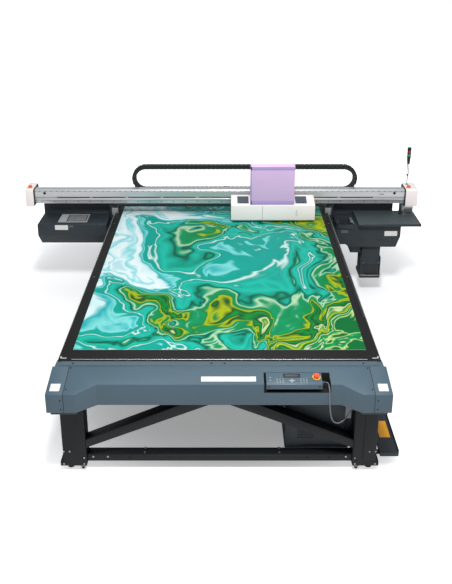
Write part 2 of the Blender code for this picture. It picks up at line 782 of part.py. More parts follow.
def cable_tray():
    """A shallow tray along the right side that carries the gantry's cable chain."""
    low, wall = TRAY_TOP - TRAY_HEIGHT, TRAY_WALL
    tray = block("chain_tray", (TRAY_LEFT, TRAY_FRONT, low), (TRAY_RIGHT, TRAY_REAR, TRAY_TOP), UNIT_PAINT)
    under = block(
        "tray_hollow",
        (TRAY_LEFT + wall, TRAY_FRONT + wall, low - 0.02),
        (TRAY_RIGHT - wall, TRAY_REAR - wall, TRAY_TOP - wall),
    )
    cut(tray, under)
    for end, (near, far) in LEG_PLACES.items():
        y = (near + far) / 2 + (0.03 if end == "front" else -0.03)
        arm = block(
            f"tray_arm_{end}",
            (LEG_OUTER + GAP, y - 0.020, TRAY_TOP - 0.018),
            (TRAY_LEFT + 0.010, y + 0.020, TRAY_TOP - 0.006),
        )
        join(tray, arm)


def gantry_beam():
    """The extruded beam: rail bands and a slot in front, a step behind for the chains, and
    an open channel at the back. Its ends are notched to clear the stop buttons' stems."""
    y, low, high = BEAM_FRONT, BEAM_LOW, BEAM_TOP
    back = y + BEAM_DEPTH
    shelf = BEAM_SHELF
    outline = [
        (y + 0.008, high),
        (y + 0.008, high - 0.008),
        (y, high - 0.012),
        (y, high - 0.079),
        (y + 0.012, high - 0.081),
        (y + 0.012, high - 0.089),
        (y, high - 0.091),
        (y - BEAM_LIP, high - 0.094),
        (y - BEAM_LIP, high - 0.116),
        (y + 0.006, high - 0.120),
        (y + 0.006, low + 0.004),
        (y + 0.010, low),
        (back, low),
        (back, low + 0.030),
        (back - 0.080, low + 0.030),
        (back - 0.080, shelf - 0.020),
        (back, shelf - 0.020),
        (back, shelf),
        (y + BEAM_RIDGE, shelf),
        (y + BEAM_RIDGE, high),
    ]
    reach = HALF_WIDTH - CAP_WALL - GAP
    beam = extrusion("gantry_beam", outline, "X", -reach, reach, ALUMINIUM)
    for name, side in SIDES.items():
        inner = abs(CAP_STOP_X[name]) - 0.015
        x = span(side, inner, HALF_WIDTH)
        notch = block(f"stop_notch_{name}", (x[0], y - 0.02, high - 0.030), (x[1], back + 0.02, high + 0.01))
        cut(beam, notch)


def cap_outline(front, rear, low, high, radius):
    """A cap's side outline in (Y, Z), its top front corner rounded."""
    arc = [
        (front + radius * (1 - math.sin(a)), high - radius * (1 - math.cos(a)))
        for a in [math.radians(15 * i) for i in range(7)]
    ]
    return [*arc, (front, low), (rear, low), (rear, high)]


def beam_caps():
    outer = HALF_WIDTH
    for name, side in SIDES.items():
        inner = outer - CAP_WIDTHS[name]
        ends = span(side, inner, outer)
        cap = extrusion(
            f"beam_cap_{name}",
            cap_outline(CAP_FRONT, CAP_REAR, CAP_LOW, CAP_TOP, CAP_ROUNDING),
            "X",
            *ends,
            WHITE_PLASTIC,
        )
        wall = CAP_WALL
        ends = span(side, inner - 0.02, outer - wall)
        hollow = cap_outline(
            CAP_FRONT + wall, CAP_REAR - wall, CAP_LOW + wall, CAP_TOP - wall, CAP_ROUNDING - wall
        )
        cut(cap, extrusion(f"cap_hollow_{name}", hollow, "X", *ends))
        top = (CAP_STOP_X[name], CAP_STOP_Y, CAP_TOP)
        cut(cap, cylinder(f"cap_stop_hole_{name}", STOP_HOLE_RADIUS, -0.03, 0.03, top, None, "Z", 20))
        emergency_stop(f"emergency_stop_{name}", top, 0.020, 0.0056, 0.014)


def signal_tower():
    """The lamp on its pole, with the foot that clamps it to the right cap."""
    foot = CAP_TOP + GAP
    top = CAP_TOP + TOWER_HEIGHT
    profile = (
        (0, top),
        (0.018, top - 0.004),
        (0.021, top - 0.012),
        (0.021, top - 0.085),
        (0.013, top - 0.100),
        (0.011, top - 0.180),
        (0.006, top - 0.188),
        (0.006, foot + 0.010),
        (0.016, foot + 0.008),
        (0.016, foot),
        (0, foot),
    )
    turned("signal_tower", profile, (TOWER_X, TOWER_Y, 0), BLACK_PLASTIC, "Z", 20)


def trucks():
    """The blocks that run on the side rails and carry the beam on upright plates."""
    rail_low = RAIL_MID - RAIL_HEIGHT / 2
    rail_high = RAIL_MID + RAIL_HEIGHT / 2
    shoes = {"over": rail_high + SHOE_CLEARANCE, "under": rail_low - SHOE_CLEARANCE - SHOE_HEIGHT}
    for name, side in SIDES.items():
        x = span(side, TRUCK_INNER + 0.001, TRUCK_INNER + TRUCK_WIDTH)
        low = (x[0], TRUCK_FRONT, rail_low - 0.03)
        truck = block(f"truck_{name}", low, (x[1], TRUCK_REAR, BEAM_LOW - GAP), ALUMINIUM)
        shoe = span(side, BEAM_OUTER + 0.004, TRUCK_INNER + 0.010)
        for at, z in shoes.items():
            high = (shoe[1], TRUCK_REAR, z + SHOE_HEIGHT)
            join(truck, block(f"{at}_shoe_{name}", (shoe[0], TRUCK_FRONT, z), high))


def back_plate(name, left, right):
    """The plate that hangs a side unit from the beam. It laps the unit's rear edge."""
    y = UNIT_REAR - BACK_PLATE_THICKNESS / 2
    low = UNIT_TOP - BACK_PLATE_LAP
    return block(name, (left, y, low), (right, y + BACK_PLATE_THICKNESS, BEAM_LOW - GAP))


def left_unit():
    """The left station's housing: a box with a chamfered front, left side and a plate up to the beam."""
    outer, inner, low = LEFT_UNIT_OUTER, UNIT_INNER, LEFT_UNIT_LOW
    crease = low + LEFT_CHAMFER_HEIGHT
    outline = [
        (UNIT_FRONT, UNIT_TOP),
        (UNIT_FRONT, crease),
        (UNIT_FRONT + LEFT_CHAMFER_DEPTH, low),
        (UNIT_REAR, low),
        (UNIT_REAR, UNIT_TOP),
    ]
    unit = extrusion("left_unit_housing", outline, "X", -outer, -inner, UNIT_PAINT)
    corner = [
        (-outer - 0.01, crease),
        (-outer - 0.01, low - 0.01),
        (-outer + LEFT_CHAMFER_WIDTH, low - 0.01),
        (-outer, crease),
    ]
    cut(unit, extrusion("left_unit_chamfer", corner, "Y", UNIT_FRONT - 0.01, UNIT_REAR + 0.01))
    wall = UNIT_WALL
    hollow = block(
        "left_unit_hollow",
        (-outer + LEFT_CHAMFER_WIDTH + 0.010, UNIT_FRONT + LEFT_CHAMFER_DEPTH + 0.005, low + wall),
        (-inner - wall, UNIT_REAR + 0.01, UNIT_TOP - wall),
    )
    cut(unit, hollow)
    join(unit, back_plate("left_back_plate", -outer, -inner))


def right_unit():
    """The maintenance station's housing, open on top over the cap, and the shelf on it."""
    outer, inner, low = RIGHT_UNIT_OUTER, UNIT_INNER, RIGHT_UNIT_LOW
    step = low + RIGHT_UNIT_STEP
    outline = [
        (inner, UNIT_TOP),
        (inner, step),
        (inner + 0.100, step),
        (inner + 0.100 + RIGHT_UNIT_STEP, low),
        (outer - RIGHT_CHAMFER_WIDTH, low),
        (outer, low + RIGHT_CHAMFER_HEIGHT),
        (outer, UNIT_TOP),
    ]
    unit = extrusion("maintenance_housing", outline, "Y", UNIT_FRONT, UNIT_REAR, UNIT_PAINT)
    wall = UNIT_WALL
    recess = block(
        "cap_recess",
        (CAP_RECESS_LEFT, CAP_RECESS_FRONT, UNIT_TOP - CAP_RECESS_DEPTH),
        (CAP_RECESS_RIGHT, CAP_RECESS_REAR, UNIT_TOP + 0.01),
    )
    hollow = block(
        "maintenance_hollow",
        (CAP_RECESS_RIGHT + wall, UNIT_FRONT + wall, step + wall),
        (outer - RIGHT_CHAMFER_WIDTH - 0.007, UNIT_REAR + 0.01, UNIT_TOP - wall),
    )
    cut(unit, recess, hollow)
    sump = [
        (SUMP_LEFT, low + wall),
        (SUMP_LEFT + 0.032, low - SUMP_DEPTH),
        (TANK_LEFT - TANK_RIM, low - SUMP_DEPTH),
        (TANK_LEFT - TANK_RIM, low + wall),
    ]
    sump = extrusion("maintenance_sump", sump, "Y", UNIT_FRONT + 0.059, UNIT_FRONT + 0.249)
    join(unit, sump, back_plate("right_back_plate", inner, RIGHT_PLATE_END), chain_arm())
    rear = UNIT_REAR - BACK_PLATE_THICKNESS / 2 - GAP
    low = (SHELF_INNER, SHELF_FRONT, UNIT_TOP + GAP)
    block("side_shelf", low, (SHELF_OUTER, rear, SHELF_TOP), UNIT_PAINT)


def cap_station():
    """The capping tray that lifts against the head from inside the maintenance station."""
    floor = UNIT_TOP - CAP_RECESS_DEPTH
    clear, lip = CAP_TRAY_CLEARANCE, CAP_TRAY_CLEARANCE + CAP_TRAY_LIP
    front = CAP_RECESS_FRONT + 0.055
    tray = block(
        "cap_tray",
        (CAP_RECESS_LEFT + clear, front, CAP_TRAY_TOP - CAP_TRAY_HEIGHT),
        (CAP_RECESS_RIGHT - clear, CAP_RECESS_REAR - clear, CAP_TRAY_TOP),
        BLACK_PLASTIC,
    )
    stem = block(
        "cap_tray_stem",
        (CAP_RECESS_LEFT + 0.03, front + 0.025, floor + GAP),
        (CAP_RECESS_RIGHT - 0.03, CAP_RECESS_REAR - 0.03, CAP_TRAY_TOP - 0.03),
    )
    join(tray, stem)
    well = block(
        "cap_well",
        (CAP_RECESS_LEFT + lip, front + CAP_TRAY_LIP, CAP_TRAY_TOP - CAP_TRAY_LIP),
        (CAP_RECESS_RIGHT - lip, CAP_RECESS_REAR - lip, CAP_TRAY_TOP + 0.01),
    )
    cut(tray, well)


def waste_tank():
    """The waste ink tank, hung under the maintenance station, on its wider tray."""
    front, high = UNIT_FRONT + 0.040, RIGHT_UNIT_LOW - GAP
    low = high - TANK_HEIGHT
    tank = block("waste_ink_tank", (TANK_LEFT, front, low), (TANK_RIGHT, front + 0.210, high), UNIT_PAINT)
    foot = block(
        "tank_base",
        (TANK_LEFT - TANK_RIM, front - TANK_RIM, low - TANK_BASE_HEIGHT),
        (TANK_RIGHT + TANK_RIM, front + 0.210 + TANK_RIM, low + 0.010),
    )
    join(tank, foot)


def chain_arm():
    """The arm that drives the floor cable chain. It hangs from the right unit's back plate."""
    low = (UNIT_INNER, UNIT_REAR, TRAY_TOP + X_CHAIN_LOOP + GAP)
    return block("chain_arm", low, (TRAY_RIGHT - 0.030, UNIT_REAR + 0.050, BEAM_LOW - GAP))


def chain_bend(name, centre, radius_mid, along, finish, width, start):
    """Half a turn of chain, in the plane of its travel, open towards the runs."""
    outer = radius_mid + CHAIN_THICKNESS / 2
    inner = radius_mid - CHAIN_THICKNESS / 2
    turn = [math.radians(start + 15 * i) for i in range(13)]
    outline = [(centre[0] + outer * math.cos(a), centre[1] + outer * math.sin(a)) for a in turn]
    outline += [(centre[0] + inner * math.cos(a), centre[1] + inner * math.sin(a)) for a in reversed(turn)]
    return extrusion(name, outline, along, *width, finish)


Y_CHAIN_NEAR = BEAM_FRONT + 0.095
Y_CHAIN_FAR = Y_CHAIN_NEAR + CHAIN_WIDTH
Y_LOWER_LOW = BEAM_SHELF + GAP


def y_chains():
    """Two chains over the beam, one to each side, that bring cables and ink to the carriage."""
    half = CHAIN_THICKNESS
    low_mid = Y_LOWER_LOW + half / 2
    high_mid = Y_CHAIN_TOP - half / 2
    radius = (high_mid - low_mid) / 2
    middle = (high_mid + low_mid) / 2
    outer = radius + half / 2
    bends = {"left": LEFT_BEND_END + outer, "right": RIGHT_BEND_END - outer}
    width = (Y_CHAIN_NEAR, Y_CHAIN_FAR)
    chain_bend("y_chain_bend_left", (bends["left"], middle), radius, "Y", BLACK_PLASTIC, width, 90)
    chain_bend("y_chain_bend_right", (bends["right"], middle), radius, "Y", BLACK_PLASTIC, width, -90)
    centre = (HOOD_LEFT + HOOD_RIGHT) / 2
    runs = {
        "left": (bends["left"] + GAP, centre - Y_CHAIN_INNER),
        "right": (centre + Y_CHAIN_INNER, bends["right"] - GAP),
    }
    for name, (start, end) in runs.items():
        block(
            f"y_chain_upper_{name}",
            (start, width[0], Y_CHAIN_TOP - half),
            (end, width[1], Y_CHAIN_TOP),
            BLACK_PLASTIC,
        )
    block(
        "y_chain_lower",
        (runs["left"][0], width[0], Y_LOWER_LOW),
        (runs["right"][1], width[1], Y_LOWER_LOW + half),
        BLACK_PLASTIC,
    )


def x_chain():
    """The floor chain in the tray: a lower run, a bend behind and an upper run to the chain arm."""
    left, right = X_CHAIN_LEFT, X_CHAIN_RIGHT
    low = TRAY_TOP + GAP
    high = TRAY_TOP + X_CHAIN_LOOP
    low_mid, high_mid = low + CHAIN_THICKNESS / 2, high - CHAIN_THICKNESS / 2
    radius = (high_mid - low_mid) / 2
    centre = (X_BEND_Y, (high_mid + low_mid) / 2)
    chain_bend("x_chain_bend", centre, radius, "X", BLACK_PLASTIC, (left, right), -90)
    runs = {"lower": (X_CHAIN_FIXED_Y, low), "upper": (UNIT_REAR, high - CHAIN_THICKNESS)}
    for name, (front, z) in runs.items():
        corner = (right, X_BEND_Y - GAP, z + CHAIN_THICKNESS)
        block(f"x_chain_{name}", (left, front, z), corner, BLACK_PLASTIC)


SLIDER_REAR = BEAM_FRONT - BEAM_LIP - SLIDER_GAP
SLIDER_FRONT = SLIDER_REAR - SLIDER_THICKNESS
COVER_BACK = SLIDER_FRONT - GAP


def carriage_slider():
    """The plate that runs along the beam, with the bridge and the arm over it that carry the chains."""
    top = BEAM_TOP + 0.050
    slider = block(
        "carriage_slider",
        (HOOD_LEFT + 0.012, SLIDER_FRONT, BEAM_LOW - 0.030),
        (HOOD_RIGHT - 0.012, SLIDER_REAR, top),
        ALUMINIUM,
    )
    high = Y_CHAIN_TOP - CHAIN_THICKNESS - GAP
    bridge = block(
        "slider_bridge",
        (HOOD_LEFT + 0.03, SLIDER_FRONT, top - 0.001),
        (HOOD_RIGHT - 0.03, SLIDER_REAR, high - 0.012),
    )
    middle, half = (HOOD_LEFT + HOOD_RIGHT) / 2, Y_CHAIN_INNER + 0.040
    arm = block(
        "slider_arm", (middle - half, SLIDER_FRONT + 0.002, high - 0.020), (middle + half, Y_CHAIN_FAR, high)
    )
    join(slider, bridge, arm)


def carriage():
    """The head base that lifts on the slider, and the two covers over it."""
    front, rear, wall = CARRIAGE_FRONT, COVER_BACK, CARRIAGE_WALL
    skirt = CARRIAGE_LOW + CARRIAGE_SKIRT
    outline = [(front, CARRIAGE_SHOULDER), (front, skirt), (rear, skirt), (rear, CARRIAGE_TOP)]
    cover = extrusion("carriage_cover", outline, "X", CARRIAGE_LEFT, CARRIAGE_RIGHT, WHITE_PLASTIC)
    hollow = [
        (front + wall, CARRIAGE_SHOULDER - wall),
        (front + wall, CARRIAGE_LOW - 0.02),
        (rear - wall, CARRIAGE_LOW - 0.02),
        (rear - wall, CARRIAGE_TOP - wall),
    ]
    cut(cover, extrusion("carriage_hollow", hollow, "X", CARRIAGE_LEFT + wall, CARRIAGE_RIGHT - wall))
    inside = wall + GAP
    block(
        "print_head_base",
        (CARRIAGE_LEFT + inside, front + inside, CARRIAGE_LOW),
        (CARRIAGE_RIGHT - inside, rear - inside, CARRIAGE_LOW + HEAD_HEIGHT),
        ALUMINIUM,
    )
    slope = (CARRIAGE_TOP - CARRIAGE_SHOULDER) / (rear - front)
    hood_outline = [
        (HOOD_FRONT, CARRIAGE_SHOULDER + slope * (HOOD_FRONT - front) + GAP * 2),
        (rear, CARRIAGE_TOP + GAP * 2),
        (rear, HOOD_TOP - HOOD_FALL),
        (HOOD_FRONT + HOOD_CROWN, HOOD_TOP),
        (HOOD_FRONT + HOOD_CHAMFER, HOOD_TOP),
        (HOOD_FRONT, HOOD_TOP - HOOD_CHAMFER),
    ]
    extrusion("head_hood", hood_outline, "X", HOOD_LEFT, HOOD_RIGHT, HOOD_PLASTIC)


side_beams()
cross_beams()
legs()
lower_rail()
front_brace()
castors()
levelling_feet()
bed()
linear_rails()
front_cover()
corner_covers()
rear_cover()
operation_panel()
panel_cord()
control_cabinet()
cable_tray()
gantry_beam()
beam_caps()
signal_tower()
trucks()
left_unit()
right_unit()
cap_station()
waste_tank()
y_chains()
x_chain()
carriage_slider()
carriage()
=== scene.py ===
"""Looks of a flatbed UV printer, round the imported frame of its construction, in metres with +Z up."""

import contextlib
import functools
import json
import math

import bpy
from mathutils import Matrix, Vector


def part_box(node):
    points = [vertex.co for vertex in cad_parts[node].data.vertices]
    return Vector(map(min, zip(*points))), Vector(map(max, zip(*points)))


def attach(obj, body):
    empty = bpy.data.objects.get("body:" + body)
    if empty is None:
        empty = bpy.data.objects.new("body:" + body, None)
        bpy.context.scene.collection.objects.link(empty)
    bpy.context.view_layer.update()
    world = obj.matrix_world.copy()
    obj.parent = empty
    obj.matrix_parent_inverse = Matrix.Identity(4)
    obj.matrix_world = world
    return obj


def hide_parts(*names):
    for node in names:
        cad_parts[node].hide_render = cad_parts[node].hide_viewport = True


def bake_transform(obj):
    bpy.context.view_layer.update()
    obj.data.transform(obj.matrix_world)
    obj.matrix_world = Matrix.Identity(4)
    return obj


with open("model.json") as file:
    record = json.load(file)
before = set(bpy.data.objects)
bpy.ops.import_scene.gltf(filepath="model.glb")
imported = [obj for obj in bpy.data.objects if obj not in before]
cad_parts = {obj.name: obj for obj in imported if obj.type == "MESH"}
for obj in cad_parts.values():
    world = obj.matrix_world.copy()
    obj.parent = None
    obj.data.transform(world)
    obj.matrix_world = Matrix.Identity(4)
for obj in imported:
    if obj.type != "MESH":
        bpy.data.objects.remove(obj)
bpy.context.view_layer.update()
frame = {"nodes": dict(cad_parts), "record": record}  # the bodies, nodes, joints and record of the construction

bl_info = {
    "name": "Flatbed UV printer",
    "version": (1, 0, 0),
    "blender": (4, 5, 0),
    "location": "View3D > Sidebar > Printer",
    "description": "Builds the finished surfaces and the small parts of a flatbed UV printer",
    "category": "Object",
}

NODES = frame["nodes"]
BODY_OF = {node: body for body, held in frame["record"]["behaviour"]["bodies"].items() for node in held}
SLOT_OF = {part["node"]: part["material_slot"] for part in frame["record"]["subparts"]}
SIDES = {"left": -1, "right": 1}
MM = 0.001

# The faces that many small parts stand on.
BED_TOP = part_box("vacuum_bed")[1][2]
UNIT_TOP = 0.810  # top of both side units

# The front cover's slope starts at its ridge; the corner covers fall away from the same ridge, less steeply.
RIDGE_Y = -1.977
SLOPE_DROP, SLOPE_RUN = 0.037, 0.166
SLOPE = math.atan2(SLOPE_DROP, SLOPE_RUN)
CORNER_DROP, CORNER_RUN = 0.056, 0.254
CORNER_TILT = math.atan2(CORNER_DROP, CORNER_RUN)


# ---- Sizes and colours that a user would change --------------------------------------------------


def linear(colour):
    """An sRGB hex colour, such as #748a9a, as linear red, green and blue."""
    channels = [int(colour[i : i + 2], 16) / 255 for i in (1, 3, 5)]
    return tuple(c / 12.92 if c <= 0.04045 else ((c + 0.055) / 1.055) ** 2.4 for c in channels)


def length(name, description, default):
    return bpy.props.FloatProperty(name=name, description=description, default=default, min=0, unit="LENGTH")


def paint(name, description, default):
    return bpy.props.FloatVectorProperty(
        name=name, description=description, default=linear(default), size=3, subtype="COLOR"
    )


class PrinterSizes(bpy.types.PropertyGroup):
    """Sizes of the small parts and of the rounded edges."""

    sheet_edge: length("Sheet edge", "Rounding of the edges of folded sheet", 0.0025)
    tube_edge: length("Tube edge", "Rounding of the corners of the frame's square tube", 0.006)
    moulded_edge: length("Moulded edge", "Rounding of the edges of the moulded covers", 0.006)
    screw_head: length("Screw head", "Diameter of a cover screw's head", 0.010)
    bolt_head: length("Bolt head", "Width across the flats of a frame bolt", 0.009)
    chain_pitch: length("Chain pitch", "Distance from one link of a cable chain to the next", 0.046)
    film: length("Film", "Thickness of a sticker", 0.0006)


class PrinterColours(bpy.types.PropertyGroup):
    """Colours of the painted and moulded surfaces."""

    frame_paint: paint("Frame", "Powder coat of the welded frame", "#15191b")
    cover_paint: paint("Covers", "Paint of the front and rear covers", "#405561")
    unit_paint: paint("Side units", "Paint of the side units and the cabinet", "#262e33")
    bed_coat: paint("Bed", "Hard anodising of the bed", "#181917")
    hood_paint: paint("Hood", "Paint of the print head's hood", "#d4b2d9")
    shell_white: paint("White covers", "Moulded white of the carriage and the beam's caps", "#f0e6e4")


def sizes():
    return bpy.context.scene.printer_sizes


def colours():
    return bpy.context.scene.printer_colours


# ---- Tools ---------------------------------------------------------------------------------------


def select_only(*pieces):
    """Selects the pieces and nothing else, in object mode."""
    if bpy.context.object and bpy.context.object.mode != "OBJECT":
        bpy.ops.object.mode_set(mode="OBJECT")
    bpy.ops.object.select_all(action="DESELECT")
    for piece in pieces:
        piece.select_set(True)
    bpy.context.view_layer.objects.active = pieces[0] if pieces else None


def settle(piece, name):
    """Puts the piece's place into its mesh, so that its object sits at the origin."""
    piece.name = piece.data.name = name
    select_only(piece)
    bpy.ops.object.transform_apply(location=True, rotation=True, scale=True)
    return piece


def modify(piece, kind, **settings):
    """Adds a modifier and applies it."""
    select_only(piece)
    step = piece.modifiers.new(kind.lower(), kind)
    for setting, value in settings.items():
        setattr(step, setting, value)
    bpy.ops.object.modifier_apply(modifier=step.name)
    return piece


def rounded(piece, edge, segments=2, angle=30):
    limit = math.radians(angle)
    return modify(piece, "BEVEL", width=edge, segments=segments, limit_method="ANGLE", angle_limit=limit)


def box(name, low, high, edge=0.0, segments=2):
    """A block between two corners, with its edges rounded."""
    select_only()
    size = [b - a for a, b in zip(low, high)]
    middle = [(a + b) / 2 for a, b in zip(low, high)]
    bpy.ops.mesh.primitive_cube_add(size=1, location=middle, scale=size)
    piece = settle(bpy.context.object, name)
    return rounded(piece, edge, segments) if edge else piece


def rod(name, radius, start, end, sides=24, edge=0.0, top=None):
    """A round bar from start to end, tapered to another radius where top is given."""
    select_only()
    start, end = Vector(start), Vector(end)
    turn = (end - start).to_track_quat("Z", "Y").to_euler()
    size = {"vertices": sides, "depth": (end - start).length, "location": (start + end) / 2, "rotation": turn}
    if top is None:
        bpy.ops.mesh.primitive_cylinder_add(radius=radius, **size)
    else:
        bpy.ops.mesh.primitive_cone_add(radius1=radius, radius2=top, **size)
    piece = settle(bpy.context.object, name)
    return rounded(piece, edge, 2, 50) if edge else piece


@contextlib.contextmanager
def shaping(piece, faces=None, edges=None):
    """Edit mode with the faces or edges selected that a test on them picks, or everything."""
    select_only(piece)
    mesh = piece.data
    bpy.context.tool_settings.mesh_select_mode = (False, edges is not None, edges is None)
    for part in (mesh.vertices, mesh.edges, mesh.polygons):
        part.foreach_set("select", [faces is None and edges is None] * len(part))
    if faces:
        for face in mesh.polygons:
            face.select = faces(face)
    if edges:
        for edge in mesh.edges:
            edge.select = edges([mesh.vertices[v].co for v in edge.vertices])
    bpy.ops.object.mode_set(mode="EDIT")
    yield
    bpy.ops.object.mode_set(mode="OBJECT")


def inset(piece, faces, thickness, depth):
    """Insets the chosen faces and pushes them in, or out where depth is positive."""
    with shaping(piece, faces):
        bpy.ops.mesh.inset(thickness=thickness, depth=0)
        bpy.ops.mesh.inset(thickness=abs(depth) * 0.15, depth=depth)
    return piece


def facing(axis, sign=1, least=0.9):
    """A test that picks the faces that look along an axis, or against it."""
    return lambda face: face.normal[axis] * sign > least


def span(side, inner, outer):
    """The low and the high X of a piece that lies between inner and outer on that side."""
    return (inner, outer) if side > 0 else (-outer, -inner)


def joined(name, pieces):
    """The pieces as one object, with the first one's place in the scene."""
    select_only(*pieces)
    if len(pieces) > 1:
        bpy.ops.object.join()
    pieces[0].name = pieces[0].data.name = name
    return pieces[0]


def repeated(name, source, places):
    """Copies of a modelled piece, moved to each place, or by each matrix, as one object."""
    copies = []
    for at in places:
        copy = source.copy()
        copy.data = source.data.copy()
        copy.data.transform(at if isinstance(at, Matrix) else Matrix.Translation(at))
        bpy.context.scene.collection.objects.link(copy)
        copies.append(copy)
    bpy.data.objects.remove(source)
    return joined(name, copies)


def finish(piece, material, body, replaced=(), angle=35, flat=False):
    """Gives a piece its material and its body, and shades it smooth across its soft edges."""
    piece.data.materials.clear()
    piece.data.materials.append(material)
    for face in piece.data.polygons:
        face.material_index = 0
    select_only(piece)
    if not flat:
        bpy.ops.object.shade_smooth_by_angle(angle=math.radians(angle))
    if body:
        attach(piece, body)
    if replaced:
        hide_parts(*replaced)
    return piece


def merged_copy(node, name=None):
    """A copy of a construction piece with its loose triangles merged into whole faces."""
    source = NODES[node]
    piece = bpy.data.objects.new(name or f"{node}_skin", source.data.copy())
    bpy.context.scene.collection.objects.link(piece)
    with shaping(piece):
        bpy.ops.mesh.remove_doubles(threshold=0.02 * MM)
        bpy.ops.mesh.dissolve_limited(angle_limit=math.radians(1))
    return piece


def refined(node, material, edge, segments=2, angle=30):
    """The construction piece with rounded edges and its finish, in its place."""
    piece = merged_copy(node)
    if edge:
        rounded(piece, edge, segments, angle)
    return finish(piece, material, BODY_OF[node], [node])


def plate(name, low, high, material, body, slot=None, edge=0.0006):
    """A thin flat plate or film, its edges rounded."""
    return finish(box(name, low, high, edge, 1), material, body)


def grown(low, high, by):
    """Two corners moved apart by a margin on each axis, or together where it is negative."""
    return [v - m for v, m in zip(low, by)], [v + m for v, m in zip(high, by)]


def block(name, low, high, edge, material, body, slot=None, sunk=None):
    """A finished block. Faces that are sunk are given with their frame's width and their depth."""
    piece = box(name, low, high, edge)
    if sunk:
        inset(piece, *sunk)
    return finish(piece, material, body)


def screw_head(name, at, axis, diameter, height=0.003):
    """A round-headed screw with a six-sided socket in its head."""
    axis = Vector(axis)
    head = rod(name, diameter / 2, Vector(at) - axis * 0.0005, Vector(at) + axis * height, 20)
    with shaping(head, lambda face: face.normal.dot(axis) > 0.99):
        bpy.ops.mesh.bevel(offset=height * 0.45, segments=2)
    with shaping(head, lambda face: face.normal.dot(axis) > 0.99 and face.area > diameter**2 * 0.1):
        bpy.ops.mesh.inset(thickness=diameter * 0.17, depth=0)
        bpy.ops.mesh.inset(thickness=0.0002, depth=-height * 0.6)
    return head


def screws(name, at, axis, diameter, height, places, material, body="frame"):
    """Like screws as one piece: one is modelled at a place and copied to the others."""
    return finish(repeated(name, screw_head(name, at, axis, diameter, height), places), material, body)


def bolt_head(name, at, axis, flats):
    """A hexagon bolt head on its washer."""
    at, axis = Vector(at), Vector(axis)
    washer = rod(name + "_washer", flats * 0.72, at - axis * 0.0005, at + axis * 0.0025, 24, 0.0008)
    head = rod(name, flats * 0.577, at + axis * 0.002, at + axis * flats * 0.6, 6, 0.0012)
    return joined(name, [head, washer])


# ---- Materials -----------------------------------------------------------------------------------


def add(tree, kind, links=None, values=None, stops=None, **settings):
    """Adds a node with its settings, its sockets' values and what its sockets are linked to."""
    node = tree.nodes.new(kind)
    for setting, value in settings.items():
        setattr(node, setting, value)
    for socket, value in (values or {}).items():
        node.inputs[socket].default_value = value
    for socket, source in (links or {}).items():
        tree.links.new(source, node.inputs[socket])
    for place, colour in stops or ():
        at = node.color_ramp.elements
        spot = at[0] if place == stops[0][0] else at[-1] if place == stops[-1][0] else at.new(place)
        spot.position = place
        spot.color = (*colour, 1.0)
    return node


def new_material(name, **constants):
    """A material with its tree, its Principled shader and the object's own coordinates."""
    material = bpy.data.materials.new(name)
    material.use_nodes = True
    tree = material.node_tree
    shader = tree.nodes["Principled BSDF"]
    for socket, value in constants.items():
        shader.inputs[socket.replace("_", " ")].default_value = value
    return material, tree, shader, add(tree, "ShaderNodeTexCoord").outputs["Object"]


def shade(colour, factor):
    return tuple(min(1.0, c * factor) for c in colour)


def grained(name, colour, roughness, grain, relief, patch=0.5, spread=0.12, stretch=(1, 1, 1), **constants):
    """A colour that drifts in patches, with a fine grain in its surface and in its roughness."""
    material, tree, shader, place = new_material(name, **constants)
    mapped = add(tree, "ShaderNodeMapping", {"Vector": place}, {"Scale": stretch}).outputs[0]
    clouds = add(tree, "ShaderNodeTexNoise", {"Vector": mapped}, {"Scale": 1 / patch, "Detail": 5.0})
    specks = add(tree, "ShaderNodeTexNoise", {"Vector": mapped}, {"Scale": 1 / grain, "Detail": 2.0})
    tones = [(0.25, shade(colour, 1 - spread)), (0.5, colour), (0.75, shade(colour, 1 + spread))]
    ramp = add(tree, "ShaderNodeValToRGB", {"Fac": clouds.outputs[0]}, stops=tones)
    tree.links.new(ramp.outputs[0], shader.inputs["Base Color"])
    sheen = {"From Min": 0.3, "From Max": 0.7, "To Min": roughness * 0.85, "To Max": roughness * 1.15}
    rough = add(tree, "ShaderNodeMapRange", {"Value": specks.outputs[0]}, sheen)
    tree.links.new(rough.outputs[0], shader.inputs["Roughness"])
    bump = {"Strength": 0.6, "Distance": relief}
    relief_node = add(tree, "ShaderNodeBump", {"Height": specks.outputs[0]}, bump)
    tree.links.new(relief_node.outputs[0], shader.inputs["Normal"])
    return material


@functools.cache
def powder_coat():
    """Powder-coated steel: a dull dark film with a faint orange-peel skin, about 3 mm across."""
    return grained(
        "powder_coated_steel", colours().frame_paint, 0.55, 3 * MM, 0.15 * MM, Specular_IOR_Level=0.3
    )


@functools.cache
def cover_paint():
    """Fine-texture polyester paint on folded sheet: blue-grey, with a sand-like grain."""
    return grained("textured_paint_blue_grey", colours().cover_paint, 0.48, 2.5 * MM, 0.12 * MM, spread=0.05)


@functools.cache
def unit_paint():
    """The same fine-texture paint in charcoal."""
    return grained(
        "textured_paint_charcoal", colours().unit_paint, 0.50, 2.5 * MM, 0.12 * MM, spread=0.07,
        Specular_IOR_Level=0.4,
    )


@functools.cache
def vent_paint():
    """Silver-grey textured paint of the vent's frame."""
    return grained(
        "textured_paint_silver", linear("#9ea2a3"), 0.50, 2.5 * MM, 0.12 * MM, spread=0.07,
        Specular_IOR_Level=0.4,
    )


@functools.cache
def shelf_paint():
    """Charcoal paint, greyer and duller than the unit beside it, on the shelf's top and on the tank's knobs."""
    return grained("textured_paint_grey", linear("#3f484b"), 0.55, 2.5 * MM, 0.12 * MM, spread=0.07)


@functools.cache
def hood_paint():
    """Satin lacquer on sheet: lilac, smoother than the covers."""
    return grained("satin_lacquer_lilac", colours().hood_paint, 0.38, 4 * MM, 0.05 * MM, spread=0.03)


